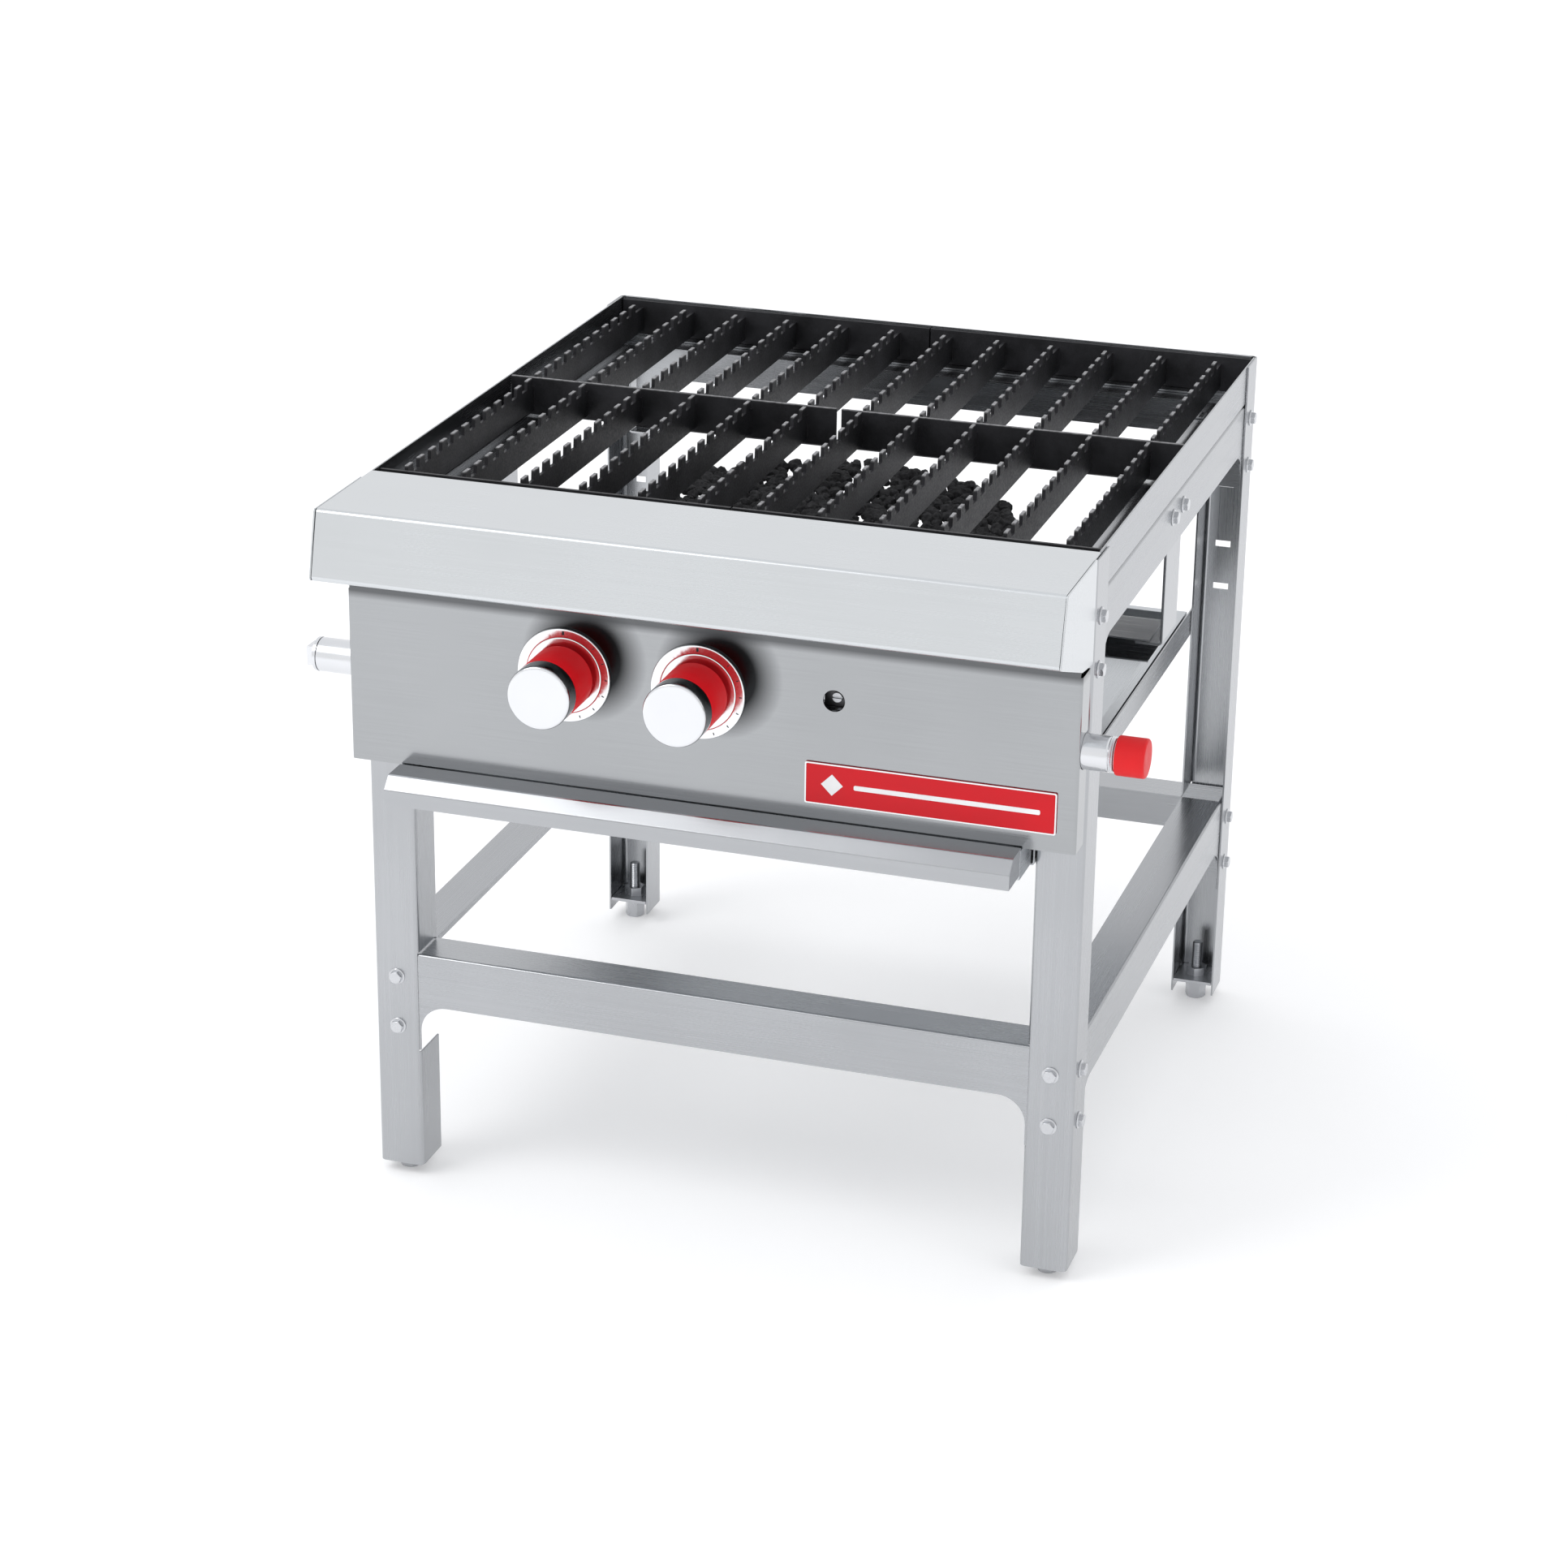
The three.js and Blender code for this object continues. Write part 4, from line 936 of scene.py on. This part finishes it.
def make_heap():
    """A shallow layer of small lumps, closely packed in rings."""
    low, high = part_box("lava_rocks")
    centre = (low + high) / 2 / MM
    base = low.z / MM
    reach = (high.x - low.x) / 2 / MM - 4
    pick = random.Random(7)
    rocks = []
    seed = 1
    radius = reach - 6
    while radius > 0:
        count = max(1, int(2 * math.pi * radius / LUMP_SPACING))
        for k in range(count):
            angle = 2 * math.pi * (k + pick.uniform(-0.3, 0.3)) / count + radius
            r = radius + pick.uniform(-3, 3)
            size = pick.uniform(*LUMP_SIZE)
            z = base + size * 0.8 + pick.uniform(0, 2.0)
            place = (centre.x + r * math.cos(angle), centre.y + r * math.sin(angle), z)
            rocks.append(make_rock(seed, place, size))
            seed += 1
        radius -= LUMP_ROW
    return combined(rocks)


stand_in("lava_rocks", make_heap(), "lava", 0.0)

# ---------------------------------------------------------------- drip tray and handle

refined("drip_tray", "tray_steel", 0.3)
path = [(-286, 396), (-310, 396), (-320, 386), (-320, 373)]
handle = prism(strip(path, SHEET, 2.6, 8), "x", -262, 262)
front = strip(path, SHEET, 2.6, 8)
face = front[1:len(front) // 2]
plate = [(-288, 395.2)] + [(u, v) for u, v in face if v > 373.2 and v <= 396] + [(-319.6, 373), (-288, 373)]
for side in (-1, 1):
    edge = sorted((side * 262, side * 260.5))
    handle = boolean(handle, prism(plate, "x", *edge), "UNION")
stand_in("drip_tray_handle", handle, "handle_steel", 0.3)

# ---------------------------------------------------------------- grates


def bar_outline():
    """Side view of one grate bar with its teeth."""
    gap = GRATE_TOP - TOOTH_DEPTH
    points = [(BAR_FRONT, BAR_LOW), (BAR_FRONT, gap)]
    count = int((BAR_REAR - 6 - FIRST_TOOTH) // TOOTH_PITCH)
    for k in range(count):
        start = FIRST_TOOTH + k * TOOTH_PITCH
        points += [(start, gap), (start + TOOTH_SLANT, GRATE_TOP)]
        points += [(start + TOOTH_SLANT + TOOTH_FLAT, GRATE_TOP), (start + 2 * TOOTH_SLANT + TOOTH_FLAT, gap)]
    points += [(BAR_REAR, gap), (BAR_REAR, BAR_LOW)]
    return points


def make_grate(node, left, right):
    """Toothed bars joined by three cross plates."""
    mid_left = left + (1.6 if left > 0 else 0)
    mid_right = right - (1.6 if right < 0 else 0)
    mesh = combined([
        block(left, right, -222, -219, PLATE_LOW, 625),
        block(left, right, 349, 352, PLATE_LOW, 625),
        block(mid_left, mid_right, 65.5, 68.5, PLATE_LOW, 626.5),
    ])
    for i in range(BAR_COUNT):
        x = left + FIRST_BAR + i * BAR_PITCH
        bar = prism(bar_outline(), "x", x - BAR_HALF_THICK, x + BAR_HALF_THICK)
        mesh = boolean(mesh, bar, "UNION")
    stand_in(node, mesh, "grate_iron", 0.25)


make_grate("grate_left", -301, -0.7)
make_grate("grate_right", 0.7, 301)

# ---------------------------------------------------------------- bolts


def bolt_mesh():
    """Flanged hexagon head standing on the face at height 0."""
    head = prism(hexagon(10, 0.2), "z", 0.6, 5.0)
    head = boolean(head, turned([(0, 0), (6.2, 0), (6.2, 4.0), (4.7, 5.0), (0, 5.0)], 48), "INTERSECT")
    flange = turned([(0, 0), (7.2, 0), (7.2, 0.7), (6.2, 1.3), (0, 1.3)], 48)
    return boolean(head, flange, "UNION")


def add_bolts(name, spots, turn):
    """All the bolts on one side of the frame."""
    meshes = [moved(bolt_mesh(), x, y, z, turn) for x, y, z in spots]
    show(name, combined(meshes), "frame", "bolt_steel", (), 0.15)


front_spots = [(s * FOOT_X, FRONT_LEG_FACE, z) for s in (-1, 1) for z in LOWER_PAIR]
rear_spots = [(s * FOOT_X, REAR_LEG_FACE, z) for s in (-1, 1) for z in LOWER_PAIR + UPPER_PAIR]
add_bolts("bolts_front", front_spots, TO_FRONT)
add_bolts("bolts_rear", rear_spots, TO_BACK)
for word, side in SIDES:
    spots = [(side * HALF_WIDTH, y, z) for y in (-232, 336) for z in LOWER_PAIR + UPPER_PAIR]
    spots += [(side * SIDE_FACE, y, STRAP_BOLT_Z) for y in STRAP_BOLTS]
    add_bolts(f"bolts_{word}", spots, TO_RIGHT if side > 0 else TO_LEFT)

# ---------------------------------------------------------------- studio


def make_floor():
    """A wide plain floor, nearly white."""
    bm = bmesh.new()
    reach = 40.0
    corners = [bm.verts.new((x * reach, y * reach, 0)) for x, y in ((-1, -1), (1, -1), (1, 1), (-1, 1))]
    bm.faces.new(corners)
    floor = bpy.data.objects.new("floor", to_mesh(bm))
    bpy.context.scene.collection.objects.link(floor)
    s = Shader("floor_white")
    haze = s.noise(0.6, 3, 0.5)
    s.set("Base Color", s.blend(haze, (0.90, 0.90, 0.905, 1), (0.93, 0.93, 0.935, 1)))
    s.set("Roughness", 0.7)
    s.set("Emission Color", (1, 1, 1, 1))
    s.set("Emission Strength", 0.20)
    floor.data.materials.append(s.material)


def make_light(name, place, target, size, power):
    """A soft rectangular lamp that faces a point."""
    data = bpy.data.lights.new(name, "AREA")
    data.shape = "RECTANGLE"
    data.size, data.size_y = size
    data.energy = power
    light = bpy.data.objects.new(name, data)
    way = Vector(target) - Vector(place)
    turn = way.to_track_quat("-Z", "Y").to_matrix().to_4x4()
    light.matrix_world = Matrix.Translation(place) @ turn
    bpy.context.scene.collection.objects.link(light)


def make_world():
    """Pale surroundings, a little darker to the right."""
    world = bpy.data.worlds.new("studio")
    bpy.context.scene.world = world
    world.use_nodes = True
    tree = world.node_tree
    back = tree.nodes["Background"]
    coord = tree.nodes.new("ShaderNodeTexCoord")
    split = tree.nodes.new("ShaderNodeSeparateXYZ")
    ramp = tree.nodes.new("ShaderNodeValToRGB")
    tree.links.new(coord.outputs["Generated"], split.inputs[0])
    tree.links.new(split.outputs["Z"], ramp.inputs[0])
    tree.links.new(ramp.outputs[0], back.inputs[0])
    stops = ramp.color_ramp.elements
    stops[0].position, stops[0].color = 0.0, (1.0, 1.0, 1.0, 1)
    stops[1].position, stops[1].color = 1.0, (0.92, 0.93, 0.95, 1)
    middle = ramp.color_ramp.elements.new(0.4)
    middle.color = (0.96, 0.965, 0.98, 1)
    side = tree.nodes.new("ShaderNodeMapRange")
    tree.links.new(split.outputs["X"], side.inputs["Value"])
    for key, value in (("From Min", 0.15), ("From Max", 0.85), ("To Min", 1.05), ("To Max", 0.80)):
        side.inputs[key].default_value = value
    tree.links.new(side.outputs[0], back.inputs["Strength"])


make_floor()
make_world()
make_light("key", (-2.4, -2.2, 3.4), (0, 0, 0.4), (2.2, 2.2), 45)
make_light("fill", (3.2, -1.2, 2.2), (0, 0, 0.4), (1.6, 2.4), 8)
bpy.context.scene.view_settings.view_transform = "Standard"
